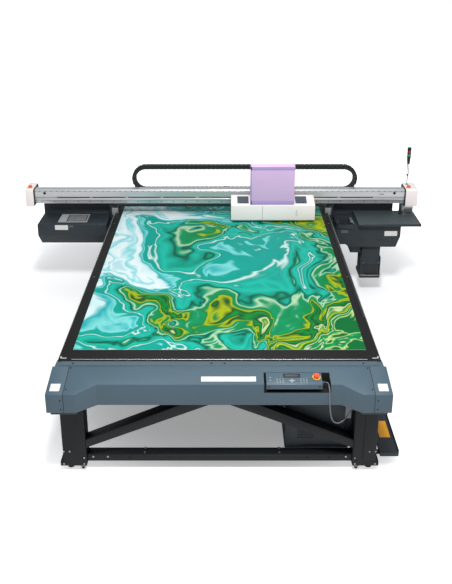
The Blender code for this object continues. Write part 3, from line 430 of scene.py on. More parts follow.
@functools.cache
def hood_band():
    """The same lacquer in a darker lilac, on the hood's edges."""
    return grained("satin_lacquer_deep_lilac", linear("#ad97cc"), 0.38, 4 * MM, 0.05 * MM, spread=0.03)


@functools.cache
def white_abs():
    """Moulded ABS: warm white, satin, with a fine spark-eroded grain."""
    return grained("moulded_abs_white", colours().shell_white, 0.42, 2 * MM, 0.06 * MM, spread=0.025)


@functools.cache
def black_nylon_and_shade():
    """Glass-filled nylon: near black, dull, with a mottled skin; lining the panel's pocket it is painted shade.
    """
    return grained("glass_filled_nylon_and_painted_shade", linear("#17191b"), 0.5, 2 * MM, 0.1 * MM, 0.08, 0.25)


@functools.cache
def black_rubber():
    """Rubber: matt black, slightly dusty."""
    return grained("rubber", linear("#141414"), 0.85, 3 * MM, 0.15 * MM, 0.05, 0.3)


@functools.cache
def black_sheet_and_shade():
    """Black satin sheet, for duct covers, recesses and gaps; under the beam and in the cover's shadow line it
    is painted shade.
    """
    return grained("black_satin_sheet_and_painted_shade", linear("#1b1d20"), 0.45, 3 * MM, 0.08 * MM)


@functools.cache
def extruded_aluminium():
    """Clear anodised extrusion: pale grey, drawn out in fine die lines along its length."""
    return grained(
        "anodised_extrusion", linear("#c9cacb"), 0.36, 2 * MM, 0.03 * MM, 0.03, 0.10, (0.01, 1, 1),
        Metallic=0.6,
    )


@functools.cache
def machined_aluminium():
    """Milled and bead-blasted aluminium: even grey, with a soft grain."""
    return grained(
        "bead_blasted_aluminium", linear("#b5b7b9"), 0.40, 1.5 * MM, 0.05 * MM, 0.1, 0.06, Metallic=0.8
    )


@functools.cache
def ground_steel():
    """Ground bearing steel: bright, with fine lines along Y."""
    return grained(
        "ground_bearing_steel", linear("#a9abad"), 0.25, 1 * MM, 0.02 * MM, 0.05, 0.08, (1, 0.02, 1),
        Metallic=1.0,
    )


@functools.cache
def zinc_plate():
    """Zinc-plated steel: bright and slightly mottled, on bolts and screws."""
    return grained("zinc_plated_steel", linear("#b9bab6"), 0.32, 2 * MM, 0.03 * MM, 0.02, 0.15, Metallic=1.0)


@functools.cache
def black_oxide():
    """Black oxide steel: dark screws with a dull shine."""
    return grained("black_oxide_steel", linear("#26282a"), 0.40, 2 * MM, 0.03 * MM, 0.02, 0.2, Metallic=0.7)


@functools.cache
def sticker_vinyl():
    """Plain white vinyl film: satin, faintly uneven."""
    return grained("vinyl_film_white", linear("#d3d1cd"), 0.35, 5 * MM, 0.03 * MM, 0.03, 0.03)


@functools.cache
def yellow_vinyl():
    """Plain amber vinyl film."""
    return grained("vinyl_film_amber", linear("#f5a800"), 0.35, 5 * MM, 0.03 * MM, 0.03, 0.05)


@functools.cache
def red_moulding():
    """Moulded orange-red plastic of a stop button: glossy, slightly rubbed."""
    return grained("moulded_red", linear("#ee4a2a"), 0.28, 6 * MM, 0.02 * MM, 0.02, 0.05, Coat_Weight=0.3)


@functools.cache
def yellow_moulding():
    """Moulded yellow collar round a stop button."""
    return grained("moulded_yellow", linear("#f0b820"), 0.38, 3 * MM, 0.03 * MM, 0.03, 0.05)


@functools.cache
def key_rubber():
    """Moulded silicone keys: a dull blue-grey."""
    return grained("silicone_rubber_grey", linear("#8b979c"), 0.6, 1.5 * MM, 0.03 * MM, 0.02, 0.05)


@functools.cache
def pale_ink():
    """Pad-printed pale grey marks."""
    return grained("pad_print_pale", linear("#d5dad8"), 0.5, 2 * MM, 0.02 * MM, 0.02, 0.06)


@functools.cache
def grey_sheath():
    """PVC sheath: mid grey, soft sheen, with a slight ripple."""
    return grained("pvc_sheath_grey", linear("#6e7072"), 0.42, 3 * MM, 0.05 * MM, 0.02, 0.08)


def lens(name, colour):
    """Clear-coated polycarbonate in one colour."""
    return grained(name, linear(colour), 0.12, 3 * MM, 0.05 * MM, 0.02, 0.15, Coat_Weight=0.6)


@functools.cache
def red_lens():
    """Fluted polycarbonate lens, deep red, unlit."""
    return lens("polycarbonate_red", "#93122e")


@functools.cache
def green_lens():
    """Fluted polycarbonate lens, green, unlit."""
    return lens("polycarbonate_green", "#12904f")


@functools.cache
def display_glass():
    """Hard-coated display window: almost black and glossy."""
    return grained("display_window", linear("#2b3438"), 0.16, 8 * MM, 0.01 * MM, 0.05, 0.2, Coat_Weight=0.5)


@functools.cache
def smoked_window():
    """Smoked polycarbonate window: grey, with a shine."""
    return grained("smoked_polycarbonate", linear("#44525b"), 0.45, 60 * MM, 0.001 * MM, 0.5, 0.04)


@functools.cache
def bed_anodising():
    """Hard-anodised bed plate, with rows of small vacuum holes 25 mm apart, drawn as dark dots of painted
    shade.
    """
    material, tree, shader, place = new_material("hard_anodised_bed", Metallic=0.2, Specular_IOR_Level=0.25)
    clouds = add(tree, "ShaderNodeTexNoise", {"Vector": place}, {"Scale": 2.5, "Detail": 6.0})
    base = colours().bed_coat
    tones = [(0.3, shade(base, 0.88)), (0.7, shade(base, 1.12))]
    ramp = add(tree, "ShaderNodeValToRGB", {"Fac": clouds.outputs[0]}, stops=tones)
    per_metre = 1 / (25 * MM)
    cells = add(tree, "ShaderNodeMapping", {"Vector": place}, {"Scale": (per_metre, per_metre, 0)})
    dots = add(
        tree, "ShaderNodeTexVoronoi", {"Vector": cells.outputs[0]}, {"Scale": 1.0, "Randomness": 0.0},
        voronoi_dimensions="2D",
    )
    edges = {"From Min": 0.07, "From Max": 0.10, "To Min": 0.0, "To Max": 1.0}
    holes = add(tree, "ShaderNodeMapRange", {"Value": dots.outputs["Distance"]}, edges)
    # The holes darken the plate's colour: painted shade inside holes that are not modelled.
    plate_colour, hole_mask, hole_shade = 6, 7, 0.9
    mixed = add(
        tree, "ShaderNodeMix", {plate_colour: ramp.outputs[0], hole_mask: holes.outputs[0]},
        {0: hole_shade}, data_type="RGBA", blend_type="MULTIPLY",
    )
    tree.links.new(mixed.outputs[2], shader.inputs["Base Color"])
    fine = add(tree, "ShaderNodeTexNoise", {"Vector": place}, {"Scale": 300.0, "Detail": 2.0})
    sheen = {"From Min": 0.3, "From Max": 0.7, "To Min": 0.42, "To Max": 0.58}
    rough = add(tree, "ShaderNodeMapRange", {"Value": fine.outputs[0]}, sheen)
    tree.links.new(rough.outputs[0], shader.inputs["Roughness"])
    bump = add(tree, "ShaderNodeBump", {"Height": holes.outputs[0]}, {"Strength": 0.5, "Distance": 1 * MM})
    tree.links.new(bump.outputs[0], shader.inputs["Normal"])
    return material


# The print's colours from its white side to its green side, with thin pale and dark veins between them.
MARBLE = [
    (0.00, "#a6c9cd"),
    (0.07, "#cfdcdc"),
    (0.13, "#72bfc5"),
    (0.18, "#d2dcdc"),
    (0.27, "#b5d1d2"),
    (0.315, "#009699"),
    (0.36, "#72c3c0"),
    (0.375, "#009284"),
    (0.44, "#008c7e"),
    (0.450, "#c3d9d4"),
    (0.462, "#008e7e"),
    (0.50, "#13a793"),
    (0.54, "#00846e"),
    (0.555, "#004934"),
    (0.57, "#008966"),
    (0.585, "#a6c29e"),
    (0.60, "#008353"),
    (0.64, "#007234"),
    (0.655, "#99a800"),
    (0.675, "#00431a"),
    (0.70, "#007e2e"),
    (0.74, "#003f1c"),
    (0.755, "#baca90"),
    (0.77, "#007536"),
    (0.82, "#a3af00"),
    (0.84, "#005825"),
    (0.89, "#007e31"),
    (0.90, "#c2d1ad"),
    (0.92, "#006b2f"),
    (0.96, "#00874a"),
    (0.975, "#b0c87a"),
    (1.00, "#00602c"),
]


@functools.cache
def marble_print():
    """Cured ink on white board: a poured-marble pattern in teal, white and green, satin, with ink relief."""
    material, tree, shader, place = new_material("cured_ink_marble", Roughness=0.4, Specular_IOR_Level=0.1)
    laid = {"Scale": (1.0, 0.85, 0.0), "Location": (9.7, 17.5, 0)}
    flat = add(tree, "ShaderNodeMapping", {"Vector": place}, laid)
    wide = add(tree, "ShaderNodeTexNoise", {"Vector": flat.outputs[0]}, {"Scale": 0.8, "Detail": 3.0})
    pushed = add(tree, "ShaderNodeVectorMath", {0: wide.outputs["Color"]}, {"Scale": 2.2}, operation="SCALE")
    warped = add(tree, "ShaderNodeVectorMath", {0: flat.outputs[0], 1: pushed.outputs[0]}, operation="ADD")
    swirl = add(
        tree, "ShaderNodeTexNoise", {"Vector": warped.outputs[0]},
        {"Scale": 0.75, "Detail": 4.0, "Roughness": 0.5, "Distortion": 1.0},
    )
    axes = add(tree, "ShaderNodeSeparateXYZ", {"Vector": place})
    across = add(tree, "ShaderNodeMath", {0: axes.outputs[0]}, {1: 0.125}, operation="MULTIPLY")
    along = add(tree, "ShaderNodeMath", {0: axes.outputs[1]}, {1: -0.035}, operation="MULTIPLY")
    drift = add(tree, "ShaderNodeMath", {0: across.outputs[0], 1: along.outputs[0]}, operation="ADD")
    height = add(tree, "ShaderNodeMath", {0: swirl.outputs[0], 1: drift.outputs[0]}, operation="ADD")
    reach = {"From Min": 0.27, "From Max": 0.78, "To Min": 0.0, "To Max": 1.0}
    spread = add(tree, "ShaderNodeMapRange", {"Value": height.outputs[0]}, reach)
    stops = [(at, linear(colour)) for at, colour in MARBLE]
    ramp = add(tree, "ShaderNodeValToRGB", {"Fac": spread.outputs[0]}, stops=stops)
    tree.links.new(ramp.outputs[0], shader.inputs["Base Color"])
    relief = {"Strength": 0.25, "Distance": 0.3 * MM}
    bump = add(tree, "ShaderNodeBump", {"Height": spread.outputs[0]}, relief)
    tree.links.new(bump.outputs[0], shader.inputs["Normal"])
    return material


@functools.cache
def white_board():
    """White rigid board: matt white at its edges and unprinted margin."""
    return grained("rigid_board_white", linear("#a9b2ae"), 0.6, 3 * MM, 0.05 * MM, 0.1, 0.03)


# ---- Stage ---------------------------------------------------------------------------------------


class PRINTER_OT_stage(bpy.types.Operator):
    """Sets the camera, the pale floor and the soft studio lights"""

    bl_idname = "printer.stage"
    bl_label = "Stage"

    def execute(self, context):
        context.scene.view_settings.view_transform = "Standard"
        self.camera(context.scene)
        self.world(context.scene)
        self.lights(context.scene)
        self.floor()
        return {"FINISHED"}

    def camera(self, scene):
        """A camera above the operator's side that looks down the bed."""
        pitch = 18.5
        camera = bpy.data.objects.new("camera", bpy.data.cameras.new("camera"))
        scene.collection.objects.link(camera)
        camera.location = (0.046, -6.426, 3.71)
        camera.rotation_euler = (math.radians(90 - pitch), 0, 0)
        camera.data.lens = 45.8
        camera.data.shift_y = -0.1976
        scene.camera = camera

    def world(self, scene):
        """White where the camera sees it, and a dim cool fill for everything else."""
        world = bpy.data.worlds.new("studio")
        scene.world = world
        world.use_nodes = True
        tree = world.node_tree
        tree.nodes.clear()
        rays = add(tree, "ShaderNodeLightPath")
        straight = {0: rays.outputs["Is Camera Ray"], 1: rays.outputs["Is Transmission Ray"]}
        seen = add(tree, "ShaderNodeMath", straight, operation="MAXIMUM")
        fill = add(tree, "ShaderNodeBackground", values={"Color": (0.92, 0.96, 1.0, 1), "Strength": 0.42})
        white = add(tree, "ShaderNodeBackground", values={"Color": (1, 1, 1, 1), "Strength": 1.0})
        both = add(tree, "ShaderNodeMixShader", {0: seen.outputs[0], 1: fill.outputs[0], 2: white.outputs[0]})
        add(tree, "ShaderNodeOutputWorld", {"Surface": both.outputs[0]})

    def lights(self, scene):
        """Round lamps, each with its place, what it points at, its width and its power."""
        lamps = (
            ("key_light", (0.2, -4.2, 6.2), (0.0, -0.3, 0.6), 1.2, 400),
            ("fill_light", (3.0, -2.0, 5.5), (0.2, 0.0, 0.6), 4.0, 40),
            ("top_light", (0.0, 1.5, 5.0), (0.0, 0.4, 0.8), 5.0, 60),
        )
        for name, at, target, size, power in lamps:
            light = bpy.data.objects.new(name, bpy.data.lights.new(name, "AREA"))
            scene.collection.objects.link(light)
            light.data.shape = "DISK"
            light.data.size = size
            light.data.energy = power
            light.location = at
            light.rotation_euler = (Vector(at) - Vector(target)).to_track_quat("Z", "Y").to_euler()

    def floor(self):
        """A matt floor that shows shadows near the printer and turns to plain white further out."""
        select_only()
        bpy.ops.mesh.primitive_plane_add(size=60)
        floor = settle(bpy.context.object, "floor")
        material, tree, shader, place = new_material(
            "matt_white_floor", Base_Color=(0.88, 0.88, 0.88, 1), Roughness=0.9, Specular_IOR_Level=0.1,
            Emission_Color=(1, 1, 1, 1),
        )
        oval = {"Location": (0, -0.9, 0), "Scale": (1.3, 1, 1)}
        stretched = add(tree, "ShaderNodeMapping", {"Vector": place}, oval)
        away = add(tree, "ShaderNodeVectorMath", {0: stretched.outputs[0]}, operation="LENGTH")
        fade = {"From Min": 2.5, "From Max": 4.0, "To Min": 0.26, "To Max": 1.0}
        distance = {"Value": away.outputs["Value"]}
        glow = add(tree, "ShaderNodeMapRange", distance, fade, interpolation_type="SMOOTHSTEP")
        rays = add(tree, "ShaderNodeLightPath")
        seen = {0: rays.outputs["Is Camera Ray"], 1: glow.outputs[0]}
        lift = add(tree, "ShaderNodeMath", seen, operation="MULTIPLY")
        tree.links.new(lift.outputs[0], shader.inputs["Emission Strength"])
        floor.data.materials.append(material)


# ---- The cord ------------------------------------------------------------------------------------

# The panel's cord: out of the gland, over the edge of the pocket, down in a loop and up again.
CORD_ROUTE = [
    (0.7153, -2.0930, 0.7890),
    (0.7203, -2.0930, 0.7890),
    (0.7253, -2.0930, 0.7890),
    (0.7370, -2.1040, 0.7890),
    (0.7400, -2.1300, 0.7880),
    (0.7405, -2.1530, 0.7790),
    (0.7420, -2.1610, 0.7500),
    (0.7470, -2.1600, 0.6700),
    (0.7560, -2.1500, 0.5850),
    (0.7760, -2.1350, 0.5150),
    (0.8080, -2.1150, 0.4800),
    (0.8430, -2.0950, 0.4750),
    (0.8790, -2.0740, 0.4950),
    (0.9100, -2.0560, 0.5300),
    (0.9330, -2.0460, 0.5600),
    (0.9550, -2.0440, 0.5680),
    (0.9650, -2.0440, 0.5680),
    (0.9750, -2.0440, 0.5680),
]
CORD_RADIUS = 0.0042


def through(points, steps):
    """Points along a smooth curve that passes through all the points given."""
    ends = [points[0] * 2 - points[1], *points, points[-1] * 2 - points[-2]]
    found = []
    for i in range(1, len(ends) - 2):
        a, b, c, d = ends[i - 1 : i + 3]
        bend, twist = 2 * a - 5 * b + 4 * c - d, 3 * b - a - 3 * c + d
        for step in range(steps):
            t = step / steps
            found.append(0.5 * (2 * b + (c - a) * t + bend * t**2 + twist * t**3))
    return [*found, points[-1]]


def tube(name, points, radius, material, body, sides=3):
    """A round tube along the points, as a mesh with closed ends."""
    curve = bpy.data.curves.new(name, "CURVE")
    curve.dimensions = "3D"
    curve.bevel_depth = radius
    curve.bevel_resolution = sides
    curve.use_fill_caps = True
    spline = curve.splines.new("POLY")
    spline.points.add(len(points) - 1)
    for point, at in zip(spline.points, points):
        point.co = (*at, 1.0)
    piece = bpy.data.objects.new(name, curve)
    bpy.context.scene.collection.objects.link(piece)
    select_only(piece)
    bpy.ops.object.convert(target="MESH")
    piece = bpy.context.object
    with shaping(piece):
        bpy.ops.mesh.remove_doubles(threshold=0.01 * MM)
    return finish(piece, material, body, angle=60)


class PRINTER_OT_cord(bpy.types.Operator):
    """Makes the operation panel's cord and the strain reliefs at its two ends"""

    bl_idname = "printer.cord"
    bl_label = "Panel cord"

    def execute(self, context):
        path = through([Vector(point) for point in CORD_ROUTE], 6)
        cord = tube("panel_cord_sheath", path, CORD_RADIUS, grey_sheath(), "frame")
        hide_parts("panel_cord")
        ends = {"gland": (CORD_ROUTE[0], (1, 0, 0)), "socket": (CORD_ROUTE[-1], (-1, 0, 0))}
        for name, (at, axis) in ends.items():
            at, axis = Vector(at), Vector(axis)
            sleeve = rod(f"cord_{name}_nut", 0.0095, at - axis * 0.002, at + axis * 0.005, 6, 0.0008)
            ring = rod("ring", 0.0078, at + axis * 0.004, at + axis * 0.010, 20, 0.0008, top=0.0058)
            finish(joined(f"cord_{name}_nut", [sleeve, ring]), black_nylon_and_shade(), "frame")
        return {"FINISHED"}


# ---- Frame and feet ------------------------------------------------------------------------------


class PRINTER_OT_welded_frame(bpy.types.Operator):
    """Finishes the welded frame, with its bolts, holes, duct lids and weld beads"""

    bl_idname = "printer.welded_frame"
    bl_label = "Welded frame"

    def execute(self, context):
        tubes = [n for n, body in BODY_OF.items() if SLOT_OF[n] == "frame_paint" and body == "frame"]
        for node in tubes:
            refined(node, powder_coat(), sizes().tube_edge if "brace" not in node else 0.004, 3)
        self.leg_bolts()
        self.rail_fittings()
        self.duct_lids()
        self.weld_beads()
        return {"FINISHED"}

    def leg_bolts(self):
        """Hexagon bolts on the outer faces of the legs, at the same X and Z on both sides."""
        spots = [(1.109, 0.176), (1.067, 0.176), (0.966, 0.121), (1.109, 0.600), (0.966, 0.600)]
        spots += [(1.113, 0.070), (0.969, 0.070)]
        places = [(side * x, 0, z) for side in SIDES.values() for x, z in spots]
        faces = {"front": (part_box("front_leg_left")[0][1], -1), "rear": (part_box("rear_leg_left")[1][1], 1)}
        for name, (y, axis) in faces.items():
            head = bolt_head(f"frame_bolts_{name}", (0, y, 0), (0, axis, 0), sizes().bolt_head)
            finish(repeated(f"frame_bolts_{name}", head, places), zinc_plate(), "frame")

    def rail_fittings(self):
        """The bolts on the lower rail's front and top, and the countersunk holes in its front."""
        low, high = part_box("front_lower_rail")
        head = bolt_head("rail_bolts", (0, low[1], 0.118), (0, -1, 0), 0.010)
        places = [(x, 0, 0) for x in (-0.800, -0.905, 0.905)]
        finish(repeated("rail_bolts", head, places), zinc_plate(), "frame")
        head = bolt_head("rail_top_bolts", (0, 0, high[2]), (0, 0, 1), 0.012)
        places = [(x, y, 0) for x in (-0.538, 0.430) for y in (-1.937, -1.984)]
        finish(repeated("rail_top_bolts", head, places), zinc_plate(), "frame")
        hole = rod("rail_holes", 0.008, (0, 0.001, 0), (0, -0.0015, 0), 20, 0.0004)
        with shaping(hole, facing(1, -1)):
            bpy.ops.mesh.inset(thickness=0.002, depth=0)
            bpy.ops.mesh.inset(thickness=0.0004, depth=-0.0012)
        places = [(x, low[1], 0.110) for x in (-0.643, 0.626, 0.785)]
        finish(repeated("rail_holes", hole, places), black_rubber(), "frame")

    def duct_lids(self):
        """Two flat lids over the ducts in the right front leg, each with its X range and its top."""
        front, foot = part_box("front_leg_left")[0][1], 0.105
        lids = [
            box("duct", (x0, front - 0.005, foot), (x1, front + 0.001, top), 0.0035, 3)
            for x0, x1, top in ((0.957, 1.008, 0.530), (1.024, 1.112, 0.640))
        ]
        finish(joined("leg_duct_lids", lids), powder_coat(), "frame")

    def weld_beads(self):
        """A row of small overlapping ripples where the brace's peak meets the front cross beam."""
        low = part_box("front_brace")[0]
        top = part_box("front_cross_beam")[0][2]
        pitch, count = 0.006, 38
        ripples = [(i * pitch - 0.11, low[1] - 0.001, top - 0.001) for i in range(count)]
        drop = rod("weld_bead", 0.0045, (-0.003, 0, 0), (0.005, 0, 0), 10, 0.002)
        finish(repeated("weld_bead", drop, ripples), powder_coat(), "frame")


def castor_wheel(node, body):
    """A rubber tyre with its tread rounded, on a plated hub and axle."""
    low, high = (Vector(corner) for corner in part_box(node))
    middle = (low + high) / 2
    radius, half = (high.z - low.z) / 2, 0.009
    end = Vector((half, 0, 0))
    tyre = rod(f"{node}_tyre", radius, middle - end, middle + end, 36, 0.0035)
    inset(tyre, lambda face: abs(face.normal.x) > 0.99, 0.004, -0.0015)
    finish(tyre, black_rubber(), body, [node])
    reach = (high.x - low.x) / 2
    hub = rod(f"{node}_hub", 0.0085, middle - end * 0.98, middle + end * 0.98, 24, 0.001)
    axle = rod("axle", 0.003, middle - Vector((reach, 0, 0)), middle + Vector((reach, 0, 0)), 16, 0.0008)
    finish(joined(f"{node}_hub", [hub, axle]), zinc_plate(), body)


def levelling_foot(node, body):
    """A pad on a threaded stem with its two lock nuts."""
    low, high = (Vector(corner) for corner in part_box(node))
    x, y = (low.x + high.x) / 2, (low.y + high.y) / 2
    pad = rod(f"{node}_pad", 0.026, (x, y, 0), (x, y, 0.012), 32, 0.002, top=0.019)
    sole = rod("sole", 0.0255, (x, y, 0), (x, y, 0.004), 32, 0.001)
    finish(joined(f"{node}_pad", [pad, sole]), black_nylon_and_shade(), body, [node])
    thread_start, pitch = 0.014, 0.003
    turns = [
        rod("thread", 0.0078, (x, y, z), (x, y, z + pitch - 0.0001), 20, 0.0009)
        for z in (thread_start + i * pitch for i in range(9))
    ]
    nuts = [rod("nut", 0.0155, (x, y, z), (x, y, z + 0.008), 6, 0.001) for z in (0.0175, high.z - 0.008)]
    finish(joined(f"{node}_stem", [*turns, *nuts]), zinc_plate(), body)


class PRINTER_OT_feet(bpy.types.Operator):
    """Makes the castors and the levelling feet"""

    bl_idname = "printer.feet"
    bl_label = "Castors and feet"

    def execute(self, context):
        for end in ("front", "rear"):
            for side in SIDES:
                refined(f"{end}_castor_fork_{side}", zinc_plate(), 0.0012)
                castor_wheel(f"{end}_castor_wheel_{side}", f"{end}_castor_wheel_{side}")
                levelling_foot(f"{end}_levelling_foot_{side}", "frame")
        return {"FINISHED"}


# ---- Bed and board -------------------------------------------------------------------------------


class PRINTER_OT_bed(bpy.types.Operator):
    """Makes the vacuum bed, its edge strips and register marks, and the printed board"""

    bl_idname = "printer.bed"
    bl_label = "Bed and board"

    def execute(self, context):
        refined("vacuum_bed", bed_anodising(), 0.003)
        low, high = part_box("vacuum_bed")
        sunk = BED_TOP - 0.001
        for name, side in SIDES.items():
            x0, x1 = span(side, 1.1295, 1.1325)
            strip = (x0, low[1] + 0.02, sunk), (x1, high[1] - 0.04, BED_TOP + 0.0015)
            plate(f"bed_edge_strip_{name}", *strip, extruded_aluminium(), "frame")
        duct = (1.111, low[1] + 0.62, sunk), (1.129, high[1] - 0.01, BED_TOP + 0.006)
        plate("bed_duct", *duct, black_sheet_and_shade(), "frame", edge=0.003)
        rule = (-1.040, low[1] + 0.025, BED_TOP), (1.040, low[1] + 0.029, BED_TOP + 0.0012)
        plate("bed_register_rule", *rule, extruded_aluminium(), "frame")
        self.corner_marks(low[1] + 0.040)
        places = [(side * 1.098, y, BED_TOP) for side in SIDES.values() for y in (-0.596, 0.633)]
        screws("bed_screws", (0, 0, 0), (0, 0, 1), 0.012, 0.002, places, zinc_plate())
        self.board()
        return {"FINISHED"}

    def corner_marks(self, y):
        """An angle printed in each front corner of the bed: a long leg along X and a short one along Y."""
        marks, width, ink = [], 0.006, 0.0008
        for side in SIDES.values():
            for (x0, x1), reach in ((span(side, 1.075, 1.120), width), (span(side, 1.114, 1.120), 0.026)):
                marks.append(box("mark", (x0, y, BED_TOP), (x1, y + reach, BED_TOP + ink)))
        finish(joined("bed_corner_marks", marks), pale_ink(), "frame")

    def board(self):
        """A white rigid board, with the cured ink as a thin film on it up to its margins."""
        refined("sample_board", white_board(), 0.0005, 1)
        low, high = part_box("sample_board")
        margin, film = 0.0004, 0.0002
        near, far = grown((*low[:2], high[2]), high, (-margin, -margin, film))
        ink = box("board_print", near, far)
        with shaping(ink, facing(2)):
            bpy.ops.mesh.bevel(offset=0.0001, segments=1)
        finish(ink, marble_print(), "frame")


# ---- Covers and panel ----------------------------------------------------------------------------


def slope_point(x, y, lift=0.0):
    """A point on the front cover's slope, lifted along its normal."""
    fall = SLOPE_DROP / SLOPE_RUN
    normal = Vector((0, -fall, 1)).normalized()
    return Vector((x, y, BED_TOP - (RIDGE_Y - y) * fall)) + normal * lift


def on_slope(piece, x, y, lift=0.0):
    """Turns a piece made flat at the origin to the cover's slope, and moves it there."""
    at = slope_point(x, y, lift)
    piece.data.transform(Matrix.Translation(at) @ Matrix.Rotation(SLOPE, 4, "X"))
    return piece


def on_corner(x, y, lift=0.0):
    """A matrix that turns a flat piece to a corner cover's slope and moves it there."""
    at = Vector((x, y, BED_TOP - (RIDGE_Y - y) * CORNER_DROP / CORNER_RUN + lift))
    return Matrix.Translation(at) @ Matrix.Rotation(CORNER_TILT, 4, "X")


def soft_corners(film, axis, offset):
    """Rounds the corners of a film that is thin along an axis."""
    with shaping(film, edges=lambda ends: abs(ends[0][axis] - ends[1][axis]) > sizes().film / 2):
        bpy.ops.mesh.bevel(offset=offset, segments=3)
    return film


def slope_film(name, x, y, width, depth, material, lift=0.0002):
    """A thin film with round corners, stuck on the slope."""
    film = box(name, (-width / 2, -depth / 2, -0.0004), (width / 2, depth / 2, sizes().film))
    soft_corners(film, 2, min(width, depth) * 0.06)
    return finish(on_slope(film, x, y, lift), material, "frame")


class PRINTER_OT_covers(bpy.types.Operator):
    """Makes the front, corner and rear covers, with their seams, screws and stickers"""

    bl_idname = "printer.covers"
    bl_label = "Covers"

    def execute(self, context):
        edge = sizes().sheet_edge
        for node in ("front_cover", "corner_cover_left", "corner_cover_right", "rear_cover"):
            refined(node, cover_paint(), edge * (0.5 if node == "front_cover" else 1), 2)
        sunk = BED_TOP - 0.002
        strip = (-1.100, -1.9735, sunk), (1.100, -1.9215, BED_TOP + 0.0035)
        plate("cover_top_strip", *strip, cover_paint(), "frame", "cover_paint", 0.0012)
        shadow = (-1.110, -1.9775, sunk), (1.110, -1.9742, BED_TOP + 0.0006)
        plate("cover_shadow_line", *shadow, black_sheet_and_shade(), "frame")
        places = [(x, -1.949, BED_TOP + 0.0033) for x in (-1.016, -0.055, 0.036, 1.0)]
        screws("cover_top_screws", (0, 0, 0), (0, 0, 1), 0.014, 0.003, places, black_oxide())
        self.seams()
        slope_film("cover_sticker_long", 0.063, -2.094, 0.372, 0.045, sticker_vinyl())
        for name, side in SIDES.items():
            self.corner(name, side)
        self.rear_louvres()
        self.rear_deck()
        return {"FINISHED"}

    def corner(self, name, side):
        """A corner cover's square sticker, and the dark ledge under the cover."""
        half = 0.033
        sticker = box(f"corner_sticker_{name}", (-half, -half, 0), (half, half, sizes().film))
        soft_corners(sticker, 2, 0.004)
        sticker.data.transform(on_corner(side * 1.096, -2.168, 0.0004))
        finish(sticker, sticker_vinyl(), "frame")
        x0, x1 = span(side, 0.955, 1.135)
        block(f"corner_ledge_{name}", (x0, -2.195, 0.605), (x1, -2.033, 0.6445), 0.004, unit_paint(), "frame")

    def seams(self):
        """Dark seams between the front cover and its corners, with their small screws."""
        heads, strips = [], []
        front, half, reach = RIDGE_Y - CORNER_RUN, 0.0022, CORNER_RUN / 2
        for side in SIDES.values():
            x = side * 1.0348
            line = box("seam", (-half, -reach, -0.0004), (half, reach, 0.0006))
            line.data.transform(on_corner(x, RIDGE_Y - reach))
            strips.append(line)
            strips.append(box("seam", (x - half, front - 0.0006, 0.646), (x + half, front + 0.0004, 0.786)))
            heads += [on_corner(x - side * 0.014, y) for y in (-1.995, -2.185)]
            upright = Matrix.Rotation(math.pi / 2, 4, "X")
            heads += [Matrix.Translation((x + side * 0.020, front, z)) @ upright for z in (0.672, 0.740)]
        finish(joined("cover_seams", strips), black_sheet_and_shade(), "frame")
        screws("cover_seam_screws", (0, 0, 0), (0, 0, 1), sizes().screw_head, 0.0022, heads, black_oxide())

    def rear_deck(self):
        """The strip of painted sheet between the bed's rear edge and the rear cover, with its screws."""
        near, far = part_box("vacuum_bed")[1][1] + 0.0006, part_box("rear_cover")[0][1] - 0.0006
        under_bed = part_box("vacuum_bed")[0][2]
        deck = (-1.100, near, under_bed - 0.0008), (1.100, far, under_bed + 0.0034)
        plate("rear_deck", *deck, cover_paint(), "frame", "cover_paint", 0.0012)
        places = [(x, (near + far) / 2, under_bed + 0.0032) for x in (-1.00, -0.33, 0.33, 1.00)]
        screws("rear_deck_screws", (0, 0, 0), (0, 0, 1), 0.014, 0.0025, places, black_oxide())

    def rear_louvres(self):
        """Two blocks of pressed louvres in the rear cover."""
        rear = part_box("rear_cover")[1][1]
        slat = box("rear_louvres", (-0.150, rear - 0.001, -0.0035), (0.150, rear + 0.006, 0.0035))
        with shaping(slat, edges=lambda ends: all(end.y > rear + 0.003 for end in ends)):
            bpy.ops.mesh.bevel(offset=0.003, segments=3)
        places = [(x, 0, 0.538 + i * 0.014) for x in (-0.55, 0.55) for i in range(7)]
        finish(repeated("rear_louvres", slat, places), cover_paint(), "frame")


